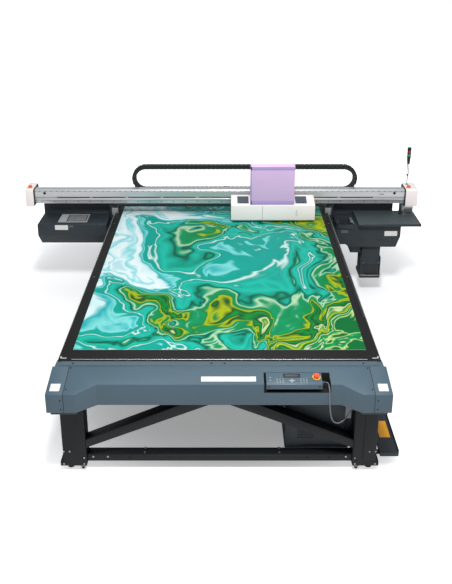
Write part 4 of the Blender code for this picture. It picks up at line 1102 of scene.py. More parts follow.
class PRINTER_OT_panel(bpy.types.Operator):
    """Makes the operation panel with its display, keys, arrows and stop button"""

    bl_idname = "printer.panel"
    bl_label = "Operation panel"

    def execute(self, context):
        refined("operation_panel", cover_paint(), 0.003)
        screen = 0.492, -2.064
        glass = box("panel_display", (-0.046, -0.010, -0.001), (0.046, 0.010, 0.0012), 0.001)
        finish(on_slope(glass, *screen), display_glass(), "frame")
        bezel = box("panel_bezel", (-0.058, -0.019, -0.001), (0.058, 0.019, 0.0009), 0.0008)
        finish(on_slope(bezel, *screen), black_nylon_and_shade(), "frame")
        self.keys()
        lamps = [rod("lamp", 0.0028, (0, 0, -0.001), (0, 0, 0.0018), 16, 0.0008) for _ in range(2)]
        for lamp, x in zip(lamps, (0.575, 0.593)):
            on_slope(lamp, x, -2.050)
        finish(joined("panel_lamps", lamps), green_lens(), "frame")
        places = [(x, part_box("operation_panel")[0][1], 0.786) for x in (0.336, 0.678)]
        screws("panel_screws", (0, 0, 0), (0, -1, 0), 0.010, 0.0025, places, black_oxide())
        self.pocket_shade_lining()
        low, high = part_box("panel_emergency_stop")
        at, upright = slope_point((low[0] + high[0]) / 2, -2.077), (0, -math.sin(SLOPE), math.cos(SLOPE))
        stop_button("panel_emergency_stop", "frame", at, upright, 0.0215)
        return {"FINISHED"}

    def keys(self):
        """Two blocks of keys, four keys round the jog key, and a raised arrow up and one down."""
        jog_x, jog_y = 0.492, -2.108
        keys = [
            self.key(0.0050, x, y)
            for x in (0.392, 0.412, 0.432, 0.552, 0.572, 0.592)
            for y in (-2.094, -2.108, -2.122)
        ]
        keys += [self.key(0.0045, jog_x + dx, jog_y) for dx in (0.018, -0.018)]
        keys += [self.key(0.0045, jog_x, jog_y + dy) for dy in (0.013, -0.013)]
        finish(joined("panel_keys", keys), key_rubber(), "frame")
        ring = rod("panel_jog_key", 0.0085, (0, 0, -0.001), (0, 0, 0.003), 32, 0.001)
        inset(ring, facing(2), 0.0025, -0.0012)
        finish(on_slope(ring, jog_x, jog_y), key_rubber(), "frame")
        arrows = []
        for y, turn in ((-2.080, 0), (-2.104, math.pi)):
            arrow = rod("arrow", 0.0075, (0, 0, -0.0005), (0, 0, 0.0006), 3)
            arrow.data.transform(Matrix.Rotation(turn, 4, "Z"))
            arrows.append(on_slope(arrow, 0.346, y))
        finish(joined("panel_arrows", arrows), key_rubber(), "frame", flat=True)

    def key(self, half, x, y):
        return on_slope(box("key", (-half, -0.0032, -0.0008), (half, 0.0032, 0.0018), 0.0012), x, y)

    def pocket_shade_lining(self):
        """Dark sheet on the pocket's floor, back and sides: painted shade that darkens the recess."""
        left, right, floor, back, sheet = 0.303, 0.751, 0.7395, -2.0335, 0.001
        sheets = [
            box("lining", (left, -2.141, floor), (right, back, floor + sheet)),
            box("lining", (left, back - sheet, floor), (right, back, 0.826)),
            box("lining", (left, -2.140, floor), (left + sheet, back, 0.800)),
            box("lining", (right - sheet, -2.140, floor), (right, back, 0.800)),
        ]
        for piece in sheets:
            rounded(piece, 0.0003, 1)
        finish(joined("pocket_shade_lining", sheets), black_nylon_and_shade(), "frame")


def stop_button(node, collar_body, at, axis, radius):
    """A red mushroom button over a yellow collar with a sunken ring."""
    refined(node, red_moulding(), 0.0012, 3, 20)
    at, axis = Vector(at), Vector(axis)
    collar = rod(f"{node}_collar", radius + 0.006, at - axis * 0.001, at + axis * 0.0042, 40, 0.0012)
    with shaping(collar, lambda face: face.normal.dot(axis) > 0.99):
        bpy.ops.mesh.inset(thickness=0.0045, depth=0)
        bpy.ops.mesh.inset(thickness=0.0003, depth=-0.0036)
    finish(collar, yellow_moulding(), collar_body)


# ---- Under the bed -------------------------------------------------------------------------------


class PRINTER_OT_cabinet(bpy.types.Operator):
    """Makes the control cabinet with its door, back, vents and latches, and the fittings beside it"""

    bl_idname = "printer.cabinet"
    bl_label = "Control cabinet"

    def execute(self, context):
        refined("control_cabinet", unit_paint(), 0.0)
        low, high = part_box("control_cabinet")
        near, far, margin = low[1], high[1], 0.012
        self.sheet("cabinet_door", near - 0.004, near + 0.002, margin, 0.0018, facing(1, -1))
        slat = box("cabinet_vents", (-0.060, near - 0.0055, -0.003), (0.060, near - 0.001, 0.003), 0.0014)
        places = [(0.62, 0, 0.22 + i * 0.013) for i in range(10)]
        finish(repeated("cabinet_vents", slat, places), black_sheet_and_shade(), "frame")
        self.sheet("cabinet_back", far - 0.002, far + 0.003, margin, 0.0014, facing(1))
        latch = box("cabinet_latches", (-0.009, near - 0.010, -0.020), (0.009, near - 0.001, 0.020), 0.003)
        with shaping(latch, facing(1, -1, 0.99)):
            bpy.ops.mesh.inset(thickness=0.003, depth=-0.002)
        places = [(high[0] - 0.045, 0, z) for z in (0.25, 0.52)]
        finish(repeated("cabinet_latches", latch, places), black_nylon_and_shade(), "frame")
        block(
            "cabinet_filler", (0.9306, near + 0.001, 0.140), (0.9494, near + 0.040, 0.655), 0.002,
            black_nylon_and_shade(), "frame", sunk=(facing(1, -1, 0.99), 0.004, -0.001),
        )
        left, front, foot, head = 0.884, -2.0045, 0.436, 0.655
        bracket = box("hanging_bracket", (left, front, foot), (left + 0.042, front + 0.004, head), 0.001)
        flange = box("flange", (left, front, foot), (left + 0.003, front + 0.0195, head), 0.001)
        with shaping(bracket, facing(1, -1, 0.99)):
            bpy.ops.mesh.inset(thickness=0.006, depth=0)
        finish(joined("hanging_bracket", [bracket, flange]), grey_sheath(), "frame")
        return {"FINISHED"}

    def sheet(self, name, near, far, margin, edge, outer):
        """A framed sheet over the front or the back of the cabinet, inside a margin."""
        low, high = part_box("control_cabinet")
        corners = (low[0] + margin, near, low[2] + margin), (high[0] - margin, far, high[2] - margin)
        block(name, *corners, edge, unit_paint(), "frame", "unit_paint", sunk=(outer, 0.020, -0.0015))


# ---- Cable chains --------------------------------------------------------------------------------


def chain_link(pitch, width, height):
    """One link along X: two side plates and cross bars, with rounded shoulders."""
    link = box("link", (-pitch * 0.48, -width / 2, -height / 2), (pitch * 0.48, width / 2, height / 2))
    with shaping(link, lambda face: abs(face.normal.y) > 0.9):
        bpy.ops.mesh.inset(thickness=height * 0.16, depth=-0.0035)
    with shaping(link, lambda face: abs(face.normal.z) > 0.9):
        bpy.ops.mesh.inset(thickness=pitch * 0.14, depth=-0.003)
    with shaping(link, lambda face: abs(face.normal.x) > 0.9):
        bpy.ops.mesh.inset(thickness=height * 0.14, depth=-0.006)
    rounded(link, 0.0012, 1, 50)
    half = (pitch * 0.54, width * 0.42, height * 0.34)
    tongue = box("tongue", [-h for h in half], half, 0.002, 1)
    return joined("link", [link, tongue])


def chain_run(name, start, end, width, height):
    """Links in a row from start to end."""
    start, end = Vector(start), Vector(end)
    run = (end - start).length
    count = max(1, round(run / sizes().chain_pitch))
    pitch = run / count
    along = (end - start).normalized()
    facing_along = Matrix.Rotation(math.atan2(along.y, along.x), 4, "Z")
    places = [Matrix.Translation(start + along * pitch * (i + 0.5)) @ facing_along for i in range(count)]
    return repeated(name, chain_link(pitch, width, height), places)


def chain_bend(name, centre, radius, width, height, facing_along, start):
    """Links round half a turn, about an axis along the chain's width."""
    count = max(3, round(math.pi * radius / sizes().chain_pitch))
    step = math.pi / count
    link = chain_link(2 * radius * math.tan(step / 2) * 0.98, width, height)
    places = []
    for i in range(count):
        angle = start + step * (i + 0.5)
        lift = Matrix.Translation((0, 0, radius))
        places.append(Matrix.Translation(centre) @ facing_along @ Matrix.Rotation(angle, 4, "Y") @ lift)
    return repeated(name, link, places)


def chain_size(node):
    """The middle of a chain's run across its length, and its width and height."""
    low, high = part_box(node)
    along_x = high[0] - low[0] > high[1] - low[1]
    across = 1 if along_x else 0
    middle = (low[across] + high[across]) / 2
    return middle, (low[2] + high[2]) / 2, high[across] - low[across], high[2] - low[2]


def chain_finish(piece, body, *nodes):
    return finish(piece, black_nylon_and_shade(), body, nodes)


class PRINTER_OT_beam_chains(bpy.types.Operator):
    """Makes the two cable chains over the beam, which roll with the carriage"""

    bl_idname = "printer.beam_chains"
    bl_label = "Beam cable chains"

    def execute(self, context):
        y, z_low, width, height = chain_size("y_chain_lower")
        fixed = 0.05  # where both lower runs are held on the beam
        for name, side in SIDES.items():
            node, body = f"y_chain_upper_{name}", f"y_chain_bend_{name}"
            z_high = chain_size(node)[1]
            left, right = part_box(node)[0][0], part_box(node)[1][0]
            bend_x, inner_x = (left, right) if side < 0 else (right, left)
            upper = chain_run(f"chain_upper_{name}", (left, y, z_high), (right, y, z_high), width, height)
            chain_finish(upper, None, node)
            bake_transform(upper)
            x0, x1 = sorted((bend_x, fixed))
            lower = chain_run(f"chain_lower_{name}", (x0, y, z_low), (x1, y, z_low), width, height)
            chain_finish(lower, None, "y_chain_lower")
            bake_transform(lower)
            centre, radius = (bend_x, y, (z_low + z_high) / 2), (z_high - z_low) / 2
            start = 0 if side > 0 else -math.pi
            bend = chain_bend(f"chain_bend_{name}", centre, radius, width, height, Matrix.Identity(4), start)
            chain_finish(bend, body, body)
        low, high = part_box("y_chain_lower")
        corners = (
            (fixed - 0.030, low[1] - 0.006, low[2] - 0.001),
            (fixed + 0.030, high[1] + 0.006, high[2] + 0.004),
        )
        block("chain_clamp", *corners, 0.003, machined_aluminium(), "gantry", sunk=(facing(2), 0.008, -0.002))
        return {"FINISHED"}


class PRINTER_OT_floor_chain(bpy.types.Operator):
    """Makes the floor cable chain, which rolls with the gantry, and its tray"""

    bl_idname = "printer.floor_chain"
    bl_label = "Floor cable chain"

    def execute(self, context):
        refined("chain_tray", unit_paint(), 0.0012, 1)
        x, z_low, width, height = chain_size("x_chain_lower")
        z_high = chain_size("x_chain_upper")[1]
        near, bend_y = (corner[1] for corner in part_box("x_chain_lower"))
        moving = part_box("x_chain_upper")[0][1]
        lower = chain_run("floor_chain_lower", (x, near, z_low), (x, bend_y, z_low), width, height)
        chain_finish(lower, None, "x_chain_lower")
        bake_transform(lower)
        upper = chain_run("floor_chain_upper", (x, moving, z_high), (x, bend_y, z_high), width, height)
        chain_finish(upper, None, "x_chain_upper")
        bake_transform(upper)
        turn = Matrix.Rotation(math.pi / 2, 4, "Z")
        centre, radius = (x, bend_y, (z_low + z_high) / 2), (z_high - z_low) / 2
        bend = chain_bend("floor_chain_bend", centre, radius, width, height, turn, 0)
        chain_finish(bend, "x_chain_bend", "x_chain_bend")
        self.tray_fittings()
        return {"FINISHED"}

    def tray_fittings(self):
        """The tray's two lips, the clamp that holds the chain, a sticker and the tray's screws."""
        low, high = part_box("chain_tray")
        top, wall = high[2], 0.003
        for name, x in {"inner": low[0], "outer": high[0] - wall}.items():
            block(
                f"tray_lip_{name}", (x, low[1], top - 0.004), (x + wall, high[1], top + 0.022), 0.001,
                unit_paint(), "frame", "unit_paint",
            )
        held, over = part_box("x_chain_lower")
        corners = (held[0] - 0.006, held[1] - 0.030, top), (over[0] + 0.006, held[1] - 0.001, top + 0.040)
        block(
            "floor_chain_clamp", *corners, 0.003, machined_aluminium(), "frame",
            sunk=(facing(2), 0.008, -0.003),
        )
        film = sizes().film
        sticker = (1.190, -1.797, top - 0.0002), (1.269, -1.604, top + film)
        plate("tray_sticker", *sticker, yellow_vinyl(), "frame", edge=film / 2)
        places = [(low[0] + 0.018, low[1] + y, 0) for y in (0.02, 0.9, 1.8, 2.7, 3.6)]
        screws("tray_screws", (0, 0, top), (0, 0, 1), sizes().screw_head, 0.002, places, zinc_plate())


# ---- Gantry --------------------------------------------------------------------------------------


class PRINTER_OT_rails(bpy.types.Operator):
    """Makes the guide rails along the frame and the trucks that run on them"""

    bl_idname = "printer.rails"
    bl_label = "Rails and trucks"

    def execute(self, context):
        for name, side in SIDES.items():
            self.rail(name, side)
            self.truck(name, side)
        return {"FINISHED"}

    def rail(self, name, side):
        """A ground rail with a row of screws along its outer face."""
        node, count, margin = f"linear_rail_{name}", 33, 0.05
        refined(node, ground_steel(), 0.002)
        low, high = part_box(node)
        face = high[0] if side > 0 else low[0]
        at = (face, 0, (low[2] + high[2]) / 2)
        step = (high[1] - low[1] - 2 * margin) / (count - 1)
        places = [(0, low[1] + margin + i * step, 0) for i in range(count)]
        screws(f"rail_screws_{name}", at, (side, 0, 0), 0.009, 0.0012, places, black_oxide())

    def truck(self, name, side):
        """A truck with its bolts, and the small bracket on its front beside the bed."""
        node = f"truck_{name}"
        refined(node, unit_paint(), 0.002)
        low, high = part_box(node)
        face = high[0] if side > 0 else low[0]
        bolt = bolt_head(f"truck_bolts_{name}", (face, 0, 0), (side, 0, 0), 0.013)
        columns = low[1] + 0.03, low[1] + 0.13, high[1] - 0.13, high[1] - 0.03
        places = [(0, y, z) for y in columns for z in (0.690, 0.740, 0.925)]
        finish(repeated(f"truck_bolts_{name}", bolt, places), zinc_plate(), "gantry")
        x0, x1 = span(side, 1.095, 1.160)
        corners = (x0, low[1] - 0.009, 0.822), (x1, low[1] - 0.0005, 0.902)
        block(
            f"truck_bracket_{name}", *corners, 0.002, machined_aluminium(), "gantry",
            sunk=(facing(1, -1, 0.99), 0.007, -0.002),
        )


class PRINTER_OT_beam(bpy.types.Operator):
    """Makes the extruded beam with its slot seal, end plates and screws, and the caps on its ends"""

    bl_idname = "printer.beam"
    bl_label = "Beam and caps"

    def execute(self, context):
        refined("gantry_beam", extruded_aluminium(), 0.0015, 1)
        low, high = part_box("gantry_beam")
        front = low[1] + 0.004  # the beam's main face lies behind its guide band
        self.face_details(front, high[2])
        for name, side in SIDES.items():
            cap_low, cap_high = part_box(f"beam_cap_{name}")
            inner = cap_low[0] if side > 0 else cap_high[0]
            x0, x1 = sorted((inner, inner - side * 0.013))
            corners = (x0, low[1] - 0.008, low[2] - 0.010), (x1, high[1] + 0.008, high[2] + 0.004)
            block(f"beam_end_plate_{name}", *corners, 0.002, unit_paint(), "gantry", "unit_paint")
        # A dark block under the beam's front, between the trucks: painted shade for the shadow that the beam
        # throws on the board.
        corners = (-1.080, low[1] + 0.010, low[2] - 0.034), (1.080, low[1] + 0.110, low[2] - 0.0005)
        block(
            "beam_underside_painted_shade", *corners, 0.004, black_sheet_and_shade(), "gantry",
            sunk=(facing(2, -1, 0.99), 0.012, -0.003),
        )
        for name, side in SIDES.items():
            self.cap(name, side)
        self.under_right_cap()
        return {"FINISHED"}

    def face_details(self, front, top):
        """The seal in the beam's slot, its two rows of screws, the diamond holes and a small mark."""
        start, end, count, gap = -1.722, 1.615, 9, 0.030
        step = (end - start) / count
        seals = []
        for x in (start + i * step for i in range(count)):
            corners = (x, front + 0.001, top - 0.0885), (x + step - gap, front + 0.010, top - 0.0815)
            seals.append(box("seal", *corners, 0.001))
        finish(joined("beam_slot_seal", seals), black_rubber(), "gantry")
        # Each row: its first screw, the head's diameter and height, the pitch and the number of screws.
        rows = {
            "upper": ((-1.90, front, top - 0.017), 0.009, 0.0014, 0.06, 64),
            "lower": ((-1.88, front + 0.006, top - 0.133), 0.010, 0.0016, 0.125, 31),
        }
        for name, (at, diameter, height, pitch, count) in rows.items():
            places = [(i * pitch, 0, 0) for i in range(count)]
            screws(f"beam_screws_{name}", at, (0, -1, 0), diameter, height, places, black_oxide(), "gantry")
        holes = []
        for x in (-1.850, 1.806):
            hole = box("hole", (-0.013, front - 0.0012, -0.013), (0.013, front + 0.004, 0.013), 0.0005)
            with shaping(hole, facing(1, -1, 0.99)):
                bpy.ops.mesh.inset(thickness=0.0012, depth=0)
                bpy.ops.mesh.inset(thickness=0.0003, depth=-0.0006)
            on_its_corner = Matrix.Rotation(math.pi / 4, 4, "Y")
            hole.data.transform(Matrix.Translation((x, 0, top - 0.038)) @ on_its_corner)
            holes.append(hole)
        finish(joined("beam_diamond_holes", holes), black_rubber(), "gantry")
        corners = (1.652, front - 0.0008, top - 0.052), (1.696, front + 0.002, top - 0.045)
        block("beam_slot_mark", *corners, 0.0004, black_sheet_and_shade(), "gantry")

    def cap(self, name, side):
        """A moulded cap with its stop button's collar and the screws in its end."""
        refined(f"beam_cap_{name}", white_abs(), 0.0035, 3, 50)
        low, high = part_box(f"beam_cap_{name}")
        stop_low, stop_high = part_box(f"emergency_stop_{name}")
        x, y = (stop_low[0] + stop_high[0]) / 2, (stop_low[1] + stop_high[1]) / 2
        stop_button(f"emergency_stop_{name}", "gantry", (x, y, high[2]), (0, 0, 1), 0.020)
        outer = high[0] if side > 0 else low[0]
        columns, rows = (low[1] + 0.03, high[1] - 0.02), (low[2] + 0.025, high[2] - 0.07)
        places = [(0, y, z) for y in columns for z in rows]
        at = (outer, 0, 0)
        screws(f"cap_screws_{name}", at, (side, 0, 0), 0.010, 0.002, places, zinc_plate(), "gantry")

    def under_right_cap(self):
        """The louvred housing and the post between the right cap and the side shelf."""
        low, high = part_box("beam_cap_right")
        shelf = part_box("side_shelf")[1][2] + 0.0005
        corners = (1.912, low[1] + 0.020, shelf), (2.014, high[1] - 0.060, low[2] + 0.004)
        housing = box("cap_grille", *corners, 0.003)
        slats = [
            box("slat", (1.918, low[1] + 0.016, z), (2.008, low[1] + 0.024, z + 0.005), 0.0015)
            for z in (shelf + 0.010 + i * 0.0095 for i in range(7))
        ]
        finish(joined("cap_grille_slats", slats), black_sheet_and_shade(), "gantry")
        finish(housing, machined_aluminium(), "gantry")
        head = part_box("gantry_beam")[0][2] + 0.002
        block(
            "cap_post", (1.872, low[1] + 0.030, shelf), (1.898, low[1] + 0.056, head), 0.003, unit_paint(),
            "gantry", "unit_paint",
        )


class PRINTER_OT_signal_tower(bpy.types.Operator):
    """Makes the signal tower: foot, pole, slotted bracket and two lenses under a black crown"""

    bl_idname = "printer.signal_tower"
    bl_label = "Signal tower"

    def execute(self, context):
        low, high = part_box("signal_tower")
        x, y, foot, top = (low[0] + high[0]) / 2, (low[1] + high[1]) / 2, low[2], high[2]
        radius = (high[0] - low[0]) / 2

        def drum(name, r, start, end, edge, taper=None):
            return rod(name, r, (x, y, start), (x, y, end), 32, edge, taper)

        crown = drum("tower_body", radius, top - 0.033, top, 0.004)
        ring = drum("ring", radius, top - 0.071, top - 0.060, 0.001)
        neck = drum("neck", 0.013, top - 0.181, top - 0.093, 0.001, radius)
        core = drum("core", 0.014, top - 0.094, top - 0.030, 0.0)
        body = joined("tower_body", [crown, ring, neck, core])
        finish(body, black_nylon_and_shade(), "gantry", ["signal_tower"])
        for name, start, end, material in (
            ("tower_lens_red", 0.0605, 0.0325, red_lens()),
            ("tower_lens_green", 0.0935, 0.0705, green_lens()),
        ):
            lens_piece = drum(name, radius - 0.0012, top - start, top - end, 0.0)
            with shaping(lens_piece, edges=lambda ends: abs(ends[0].z - ends[1].z) > 0.01):
                bpy.ops.mesh.bevel(offset=0.0008, segments=1)
            finish(lens_piece, material, "gantry")
        width = 0.005
        bars = [
            box("bar", (left, y - 0.006, foot + 0.112), (left + width, y + 0.006, top - 0.180), 0.001)
            for left in (x - 0.010, x + 0.005)
        ]
        bars.append(drum("clamp", 0.012, foot + 0.104, foot + 0.116, 0.002))
        finish(joined("tower_bracket", bars), black_nylon_and_shade(), "gantry")
        pole = drum("tower_pole", 0.006, foot + 0.004, foot + 0.108, 0.001)
        base = drum("base", 0.016, foot, foot + 0.009, 0.002)
        finish(joined("tower_pole", [pole, base]), machined_aluminium(), "gantry")
        return {"FINISHED"}


# ---- Side units ----------------------------------------------------------------------------------


def front_film(name, x, z, size, y, material, body):
    """A plain sticker on a face that looks to the front."""
    film = box(name, (-size[0] / 2, -sizes().film, -size[1] / 2), (size[0] / 2, 0.0004, size[1] / 2))
    soft_corners(film, 1, min(size) * 0.08)
    film.data.transform(Matrix.Translation((x, y, z)))
    return finish(film, material, body)


def seam(name, low, high, body):
    """A dark line let into a face where two sheets meet."""
    return finish(box(name, low, high, 0.0004, 1), black_sheet_and_shade(), body)


class PRINTER_OT_left_unit(bpy.types.Operator):
    """Makes the left side unit with its framed vent, seams and stickers"""

    bl_idname = "printer.left_unit"
    bl_label = "Left side unit"

    def execute(self, context):
        refined("left_unit_housing", unit_paint(), 0.004, 3, 25)
        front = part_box("left_unit_housing")[0][1]
        self.vent()
        line = (-1.3815, front - 0.0006, 0.692), (-1.3785, front + 0.001, UNIT_TOP - 0.004)
        seam("left_unit_seam", *line, "gantry")
        front_film("left_sticker_wide", -1.652, 0.778, (0.134, 0.052), front, sticker_vinyl(), "gantry")
        front_film("left_sticker_small", -1.553, 0.790, (0.044, 0.024), front, smoked_window(), "gantry")
        beside_seam = -1.400, -1.355, -1.215
        places = [(x, 0, 0.790) for x in (-1.870, *beside_seam)] + [(x, 0, 0.705) for x in beside_seam]
        at = (0, front, 0)
        screws("left_unit_screws", at, (0, -1, 0), sizes().screw_head, 0.002, places, black_oxide(), "gantry")
        return {"FINISHED"}

    def vent(self):
        """A silver frame on the unit's top, with a dark field of bars in it."""
        frame_low, frame_high = (-1.700, 0.742, UNIT_TOP - 0.001), (-1.400, 0.962, UNIT_TOP + 0.006)
        rim = box("vent_frame", frame_low, frame_high, 0.0015)
        with shaping(rim, facing(2, 1, 0.99)):
            bpy.ops.mesh.inset(thickness=0.004, depth=-0.001)
        finish(rim, vent_paint(), "gantry")
        (left, near), (right, far), margin = (-1.618, 0.757), (-1.412, 0.938), 0.008
        block(
            "vent_panel", (left, near, UNIT_TOP + 0.003), (right, far, UNIT_TOP + 0.0062), 0.0008,
            black_nylon_and_shade(), "gantry", sunk=(facing(2, 1, 0.99), 0.006, -0.0015),
        )
        low, high, width, pitch, count = UNIT_TOP + 0.004, UNIT_TOP + 0.0066, 0.005, 0.0115, 17
        bars = [
            box("bar", (x, near + margin, low), (x + width, far - margin, high), 0.0008)
            for x in (left + margin + i * pitch for i in range(count))
        ]
        finish(joined("vent_mesh", bars), black_sheet_and_shade(), "gantry")


class PRINTER_OT_maintenance_unit(bpy.types.Operator):
    """Makes the maintenance unit, its capping tray and wiper, the side shelf and the waste tank"""

    bl_idname = "printer.maintenance_unit"
    bl_label = "Maintenance unit"

    def execute(self, context):
        refined("maintenance_housing", unit_paint(), 0.0035, 3, 25)
        refined("side_shelf", unit_paint(), 0.006, 3)
        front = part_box("maintenance_housing")[0][1]
        for x in (1.446, 1.640):
            line = (x - 0.0015, front - 0.0006, 0.600), (x + 0.0015, front + 0.001, UNIT_TOP - 0.004)
            seam(f"maintenance_seam_{x:.2f}", *line, "gantry")
        front_film("right_sticker_wide", 1.752, 0.711, (0.131, 0.054), front, sticker_vinyl(), "gantry")
        front_film("right_sticker_small", 1.273, 0.733, (0.074, 0.032), front, smoked_window(), "gantry")
        places = [(x, 0, z) for x in (1.215, 1.425, 1.465, 1.620, 1.660) for z in (0.640, 0.780)]
        at, wide = (0, front, 0), sizes().screw_head
        screws("maintenance_screws", at, (0, -1, 0), wide, 0.002, places, black_oxide(), "gantry")
        low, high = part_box("side_shelf")
        rim, top = 0.004, high[2]
        skin = (low[0] + rim, low[1] + rim, top - 0.0005), (high[0] - rim, high[1] - rim, top + 0.0009)
        plate("shelf_skin", *skin, shelf_paint(), "gantry", edge=0.0005)
        self.capping()
        self.tank()
        return {"FINISHED"}

    def capping(self):
        """The lifting tray with its rubber lips, the wiper beside it, and the rims of the recess."""
        refined("cap_tray", black_nylon_and_shade(), 0.0015)
        low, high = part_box("cap_tray")
        rim, width, pitch = 0.022, 0.020, 0.030
        lips = []
        for y in (low[1] + rim + i * pitch for i in range(3)):
            corners = (low[0] + rim, y, high[2] - 0.013), (high[0] - rim, y + width, high[2] + 0.001)
            lips.append(inset(box("lip", *corners, 0.002), facing(2, 1, 0.99), 0.003, -0.004))
        finish(joined("cap_lips", lips), black_rubber(), "cap_tray")
        blade = box("wiper_blade", (1.235, 0.716, 0.700), (1.325, 0.719, 0.768), 0.001)
        block(
            "wiper_holder", (1.228, 0.708, 0.655), (1.332, 0.728, 0.742), 0.003, machined_aluminium(),
            "gantry",
        )
        finish(blade, black_rubber(), "gantry")
        sunk, lip = UNIT_TOP - 0.001, UNIT_TOP + 0.016
        rims = [
            box("rim", (1.194, 0.668, UNIT_TOP - 0.044), (1.356, 0.682, lip), 0.003),
            box("rim", (1.194, 0.668, sunk), (1.356, 0.700, lip), 0.003),
            box("rim", (1.205, 0.880, sunk), (1.372, 0.905, lip), 0.003),
            box("rim", (1.205, 0.698, sunk), (1.222, 0.882, UNIT_TOP + 0.010), 0.003),
        ]
        finish(joined("recess_rims", rims), unit_paint(), "gantry")
        block(
            "drip_plate", (1.342, 0.702, sunk), (1.370, 0.878, UNIT_TOP + 0.004), 0.001,
            machined_aluminium(), "gantry",
        )

    def tank(self):
        """The waste tank's holder with its clamp knobs, and the wire loop at its foot."""
        refined("waste_ink_tank", unit_paint(), 0.003)
        low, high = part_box("waste_ink_tank")
        front, left, right = low[1] + 0.012, low[0] + 0.012, high[0] - 0.012
        knob_z = 0.367
        knobs = [
            rod("knob", 0.013, (x, front + 0.004, knob_z), (x, front - 0.016, knob_z), 12, 0.003)
            for x in (left + 0.020, right - 0.012)
        ]
        finish(joined("tank_knobs", knobs), shelf_paint(), "gantry")
        corners = (left + 0.026, front - 0.004, 0.218), (right - 0.026, front + 0.001, 0.340)
        block(
            "tank_lower_lid", *corners, 0.002, black_nylon_and_shade(), "gantry",
            sunk=(facing(1, -1, 0.99), 0.010, -0.002),
        )
        cheeks = [
            box("cheek", (x, low[1] + 0.001, 0.214), (x + 0.0105, low[1] + 0.180, 0.430), 0.002)
            for x in (left - 0.011, right + 0.0005)
        ]
        finish(joined("tank_cheeks", cheeks), unit_paint(), "gantry")
        z, near, far = 0.226, low[1] - 0.004, front + 0.05
        x0, x1 = low[0] + 0.004, high[0] - 0.004
        wire = through([Vector(at) for at in ((x0, far, z), (x0, near, z), (x1, near, z), (x1, far, z))], 6)
        tube("tank_wire_loop", wire, 0.003, zinc_plate(), "gantry")


# ---- Carriage ------------------------------------------------------------------------------------


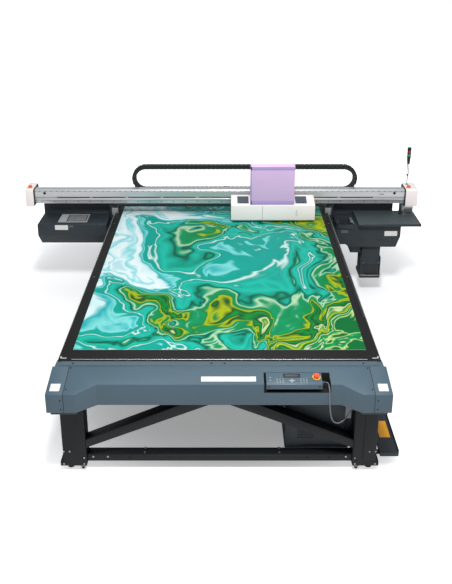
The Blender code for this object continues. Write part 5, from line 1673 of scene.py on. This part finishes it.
class PRINTER_OT_carriage(bpy.types.Operator):
    """Makes the carriage's cover with its windows, the lifting head and the lilac hood"""

    bl_idname = "printer.carriage"
    bl_label = "Carriage and hood"

    def execute(self, context):
        refined("carriage_slider", machined_aluminium(), 0.002)
        refined("carriage_cover", white_abs(), sizes().moulded_edge, 3)
        refined("head_hood", hood_paint(), 0.005, 3)
        front, rear = (corner[1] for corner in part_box("carriage_cover"))
        shoulder, ridge = 1.031, 1.079
        fall = (ridge - shoulder) / (rear - front)
        tilt = math.atan(fall)

        def on_top(piece, x, y):
            at = Matrix.Translation((x, y, shoulder + (y - front) * fall))
            piece.data.transform(at @ Matrix.Rotation(tilt, 4, "X"))
            return piece

        for name, x in {"left": 0.2205, "right": 0.8155}.items():
            window = box(f"carriage_window_{name}", (-0.058, -0.064, -0.002), (0.058, 0.064, 0.0022), 0.0008)
            inset(window, facing(2, 1, 0.99), 0.004, -0.0010)
            finish(on_top(window, x, 0.750), smoked_window(), "print_head")
            knobs = [
                on_top(rod("knob", 0.0095, (0, 0, -0.001), (0, 0, 0.0045), 20, 0.0012), x + dx, 0.700)
                for dx in (-0.020, 0.020)
            ]
            finish(joined(f"window_catches_{name}", knobs), black_nylon_and_shade(), "print_head")
        seam("carriage_seam", (0.4168, front - 0.0006, 0.878), (0.4192, front + 0.001, 1.024), "print_head")
        front_film("carriage_label", 0.766, 0.950, (0.020, 0.062), front, sticker_vinyl(), "print_head")
        self.hood()
        self.head()
        return {"FINISHED"}

    def hood(self):
        """The hood's darker bands, its dark edge and its white top."""
        low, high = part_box("head_hood")
        skin = 0.0012
        bands = {"top": (high[2] - 0.0565, high[2] - 0.0205), "bottom": (low[2] + 0.004, low[2] + 0.048)}
        for name, (z0, z1) in bands.items():
            corners = (low[0] - skin, low[1] - skin, z0), (high[0] + skin, low[1] + 0.070, z1)
            block(f"hood_band_{name}", *corners, 0.0008, hood_band(), "print_head", "hood_shell")
        left, near, foot, top = low[0], low[1], low[2], high[2]
        corners = (left - skin, near - skin, foot + 0.004), (left + 0.011, near + 0.004, top - 0.020)
        block("hood_edge", *corners, 0.0008, hood_band(), "print_head", "hood_shell")
        corners = (left + 0.004, near + 0.022, top - 0.001), (high[0] - 0.012, near + 0.079, top + 0.004)
        block("hood_lid", *corners, 0.002, white_abs(), "print_head", "white_shell")

    def head(self):
        """The head's base with its print heads and the two lamp windows, seen from below."""
        refined("print_head_base", machined_aluminium(), 0.002)
        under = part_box("print_head_base")[0][2]
        pitch, width, count = 0.062, 0.040, 6
        heads = [
            box("head", (x, 0.690, under - 0.004), (x + width, 0.800, under + 0.002), 0.001)
            for x in (0.34 + i * pitch for i in range(count))
        ]
        lamps = [
            box("lamp", (x, 0.680, under - 0.003), (x + 0.085, 0.810, under + 0.002), 0.001)
            for x in (0.135, 0.835)
        ]
        for pieces, frame_width, depth in ((heads, 0.006, -0.001), (lamps, 0.010, -0.0015)):
            for piece in pieces:
                inset(piece, facing(2, -1, 0.99), frame_width, depth)
        finish(joined("print_heads", heads), ground_steel(), "print_head")
        finish(joined("curing_lamps", lamps), display_glass(), "print_head")


# ---- Panel in the sidebar, and the making --------------------------------------------------------

STEPS = (
    PRINTER_OT_stage,
    PRINTER_OT_cord,
    PRINTER_OT_welded_frame,
    PRINTER_OT_feet,
    PRINTER_OT_bed,
    PRINTER_OT_covers,
    PRINTER_OT_panel,
    PRINTER_OT_cabinet,
    PRINTER_OT_floor_chain,
    PRINTER_OT_rails,
    PRINTER_OT_beam,
    PRINTER_OT_signal_tower,
    PRINTER_OT_left_unit,
    PRINTER_OT_maintenance_unit,
    PRINTER_OT_carriage,
    PRINTER_OT_beam_chains,
)


class PRINTER_PT_making(bpy.types.Panel):
    """Lists the making steps and the sizes and colours that they use"""

    bl_idname = "PRINTER_PT_making"
    bl_label = "Flatbed UV printer"
    bl_space_type = "VIEW_3D"
    bl_region_type = "UI"
    bl_category = "Printer"

    def draw(self, context):
        for group in (context.scene.printer_sizes, context.scene.printer_colours):
            for name in group.__annotations__:
                self.layout.prop(group, name)
        for step in STEPS:
            self.layout.operator(step.bl_idname)


CLASSES = (PrinterSizes, PrinterColours, *STEPS, PRINTER_PT_making)


def register():
    for cls in CLASSES:
        bpy.utils.register_class(cls)
    bpy.types.Scene.printer_sizes = bpy.props.PointerProperty(type=PrinterSizes)
    bpy.types.Scene.printer_colours = bpy.props.PointerProperty(type=PrinterColours)


def unregister():
    del bpy.types.Scene.printer_colours
    del bpy.types.Scene.printer_sizes
    for cls in reversed(CLASSES):
        bpy.utils.unregister_class(cls)


def main():
    register()
    for step in STEPS:
        getattr(bpy.ops.printer, step.bl_idname.split(".")[1])()


if __name__ == "__main__":
    main()
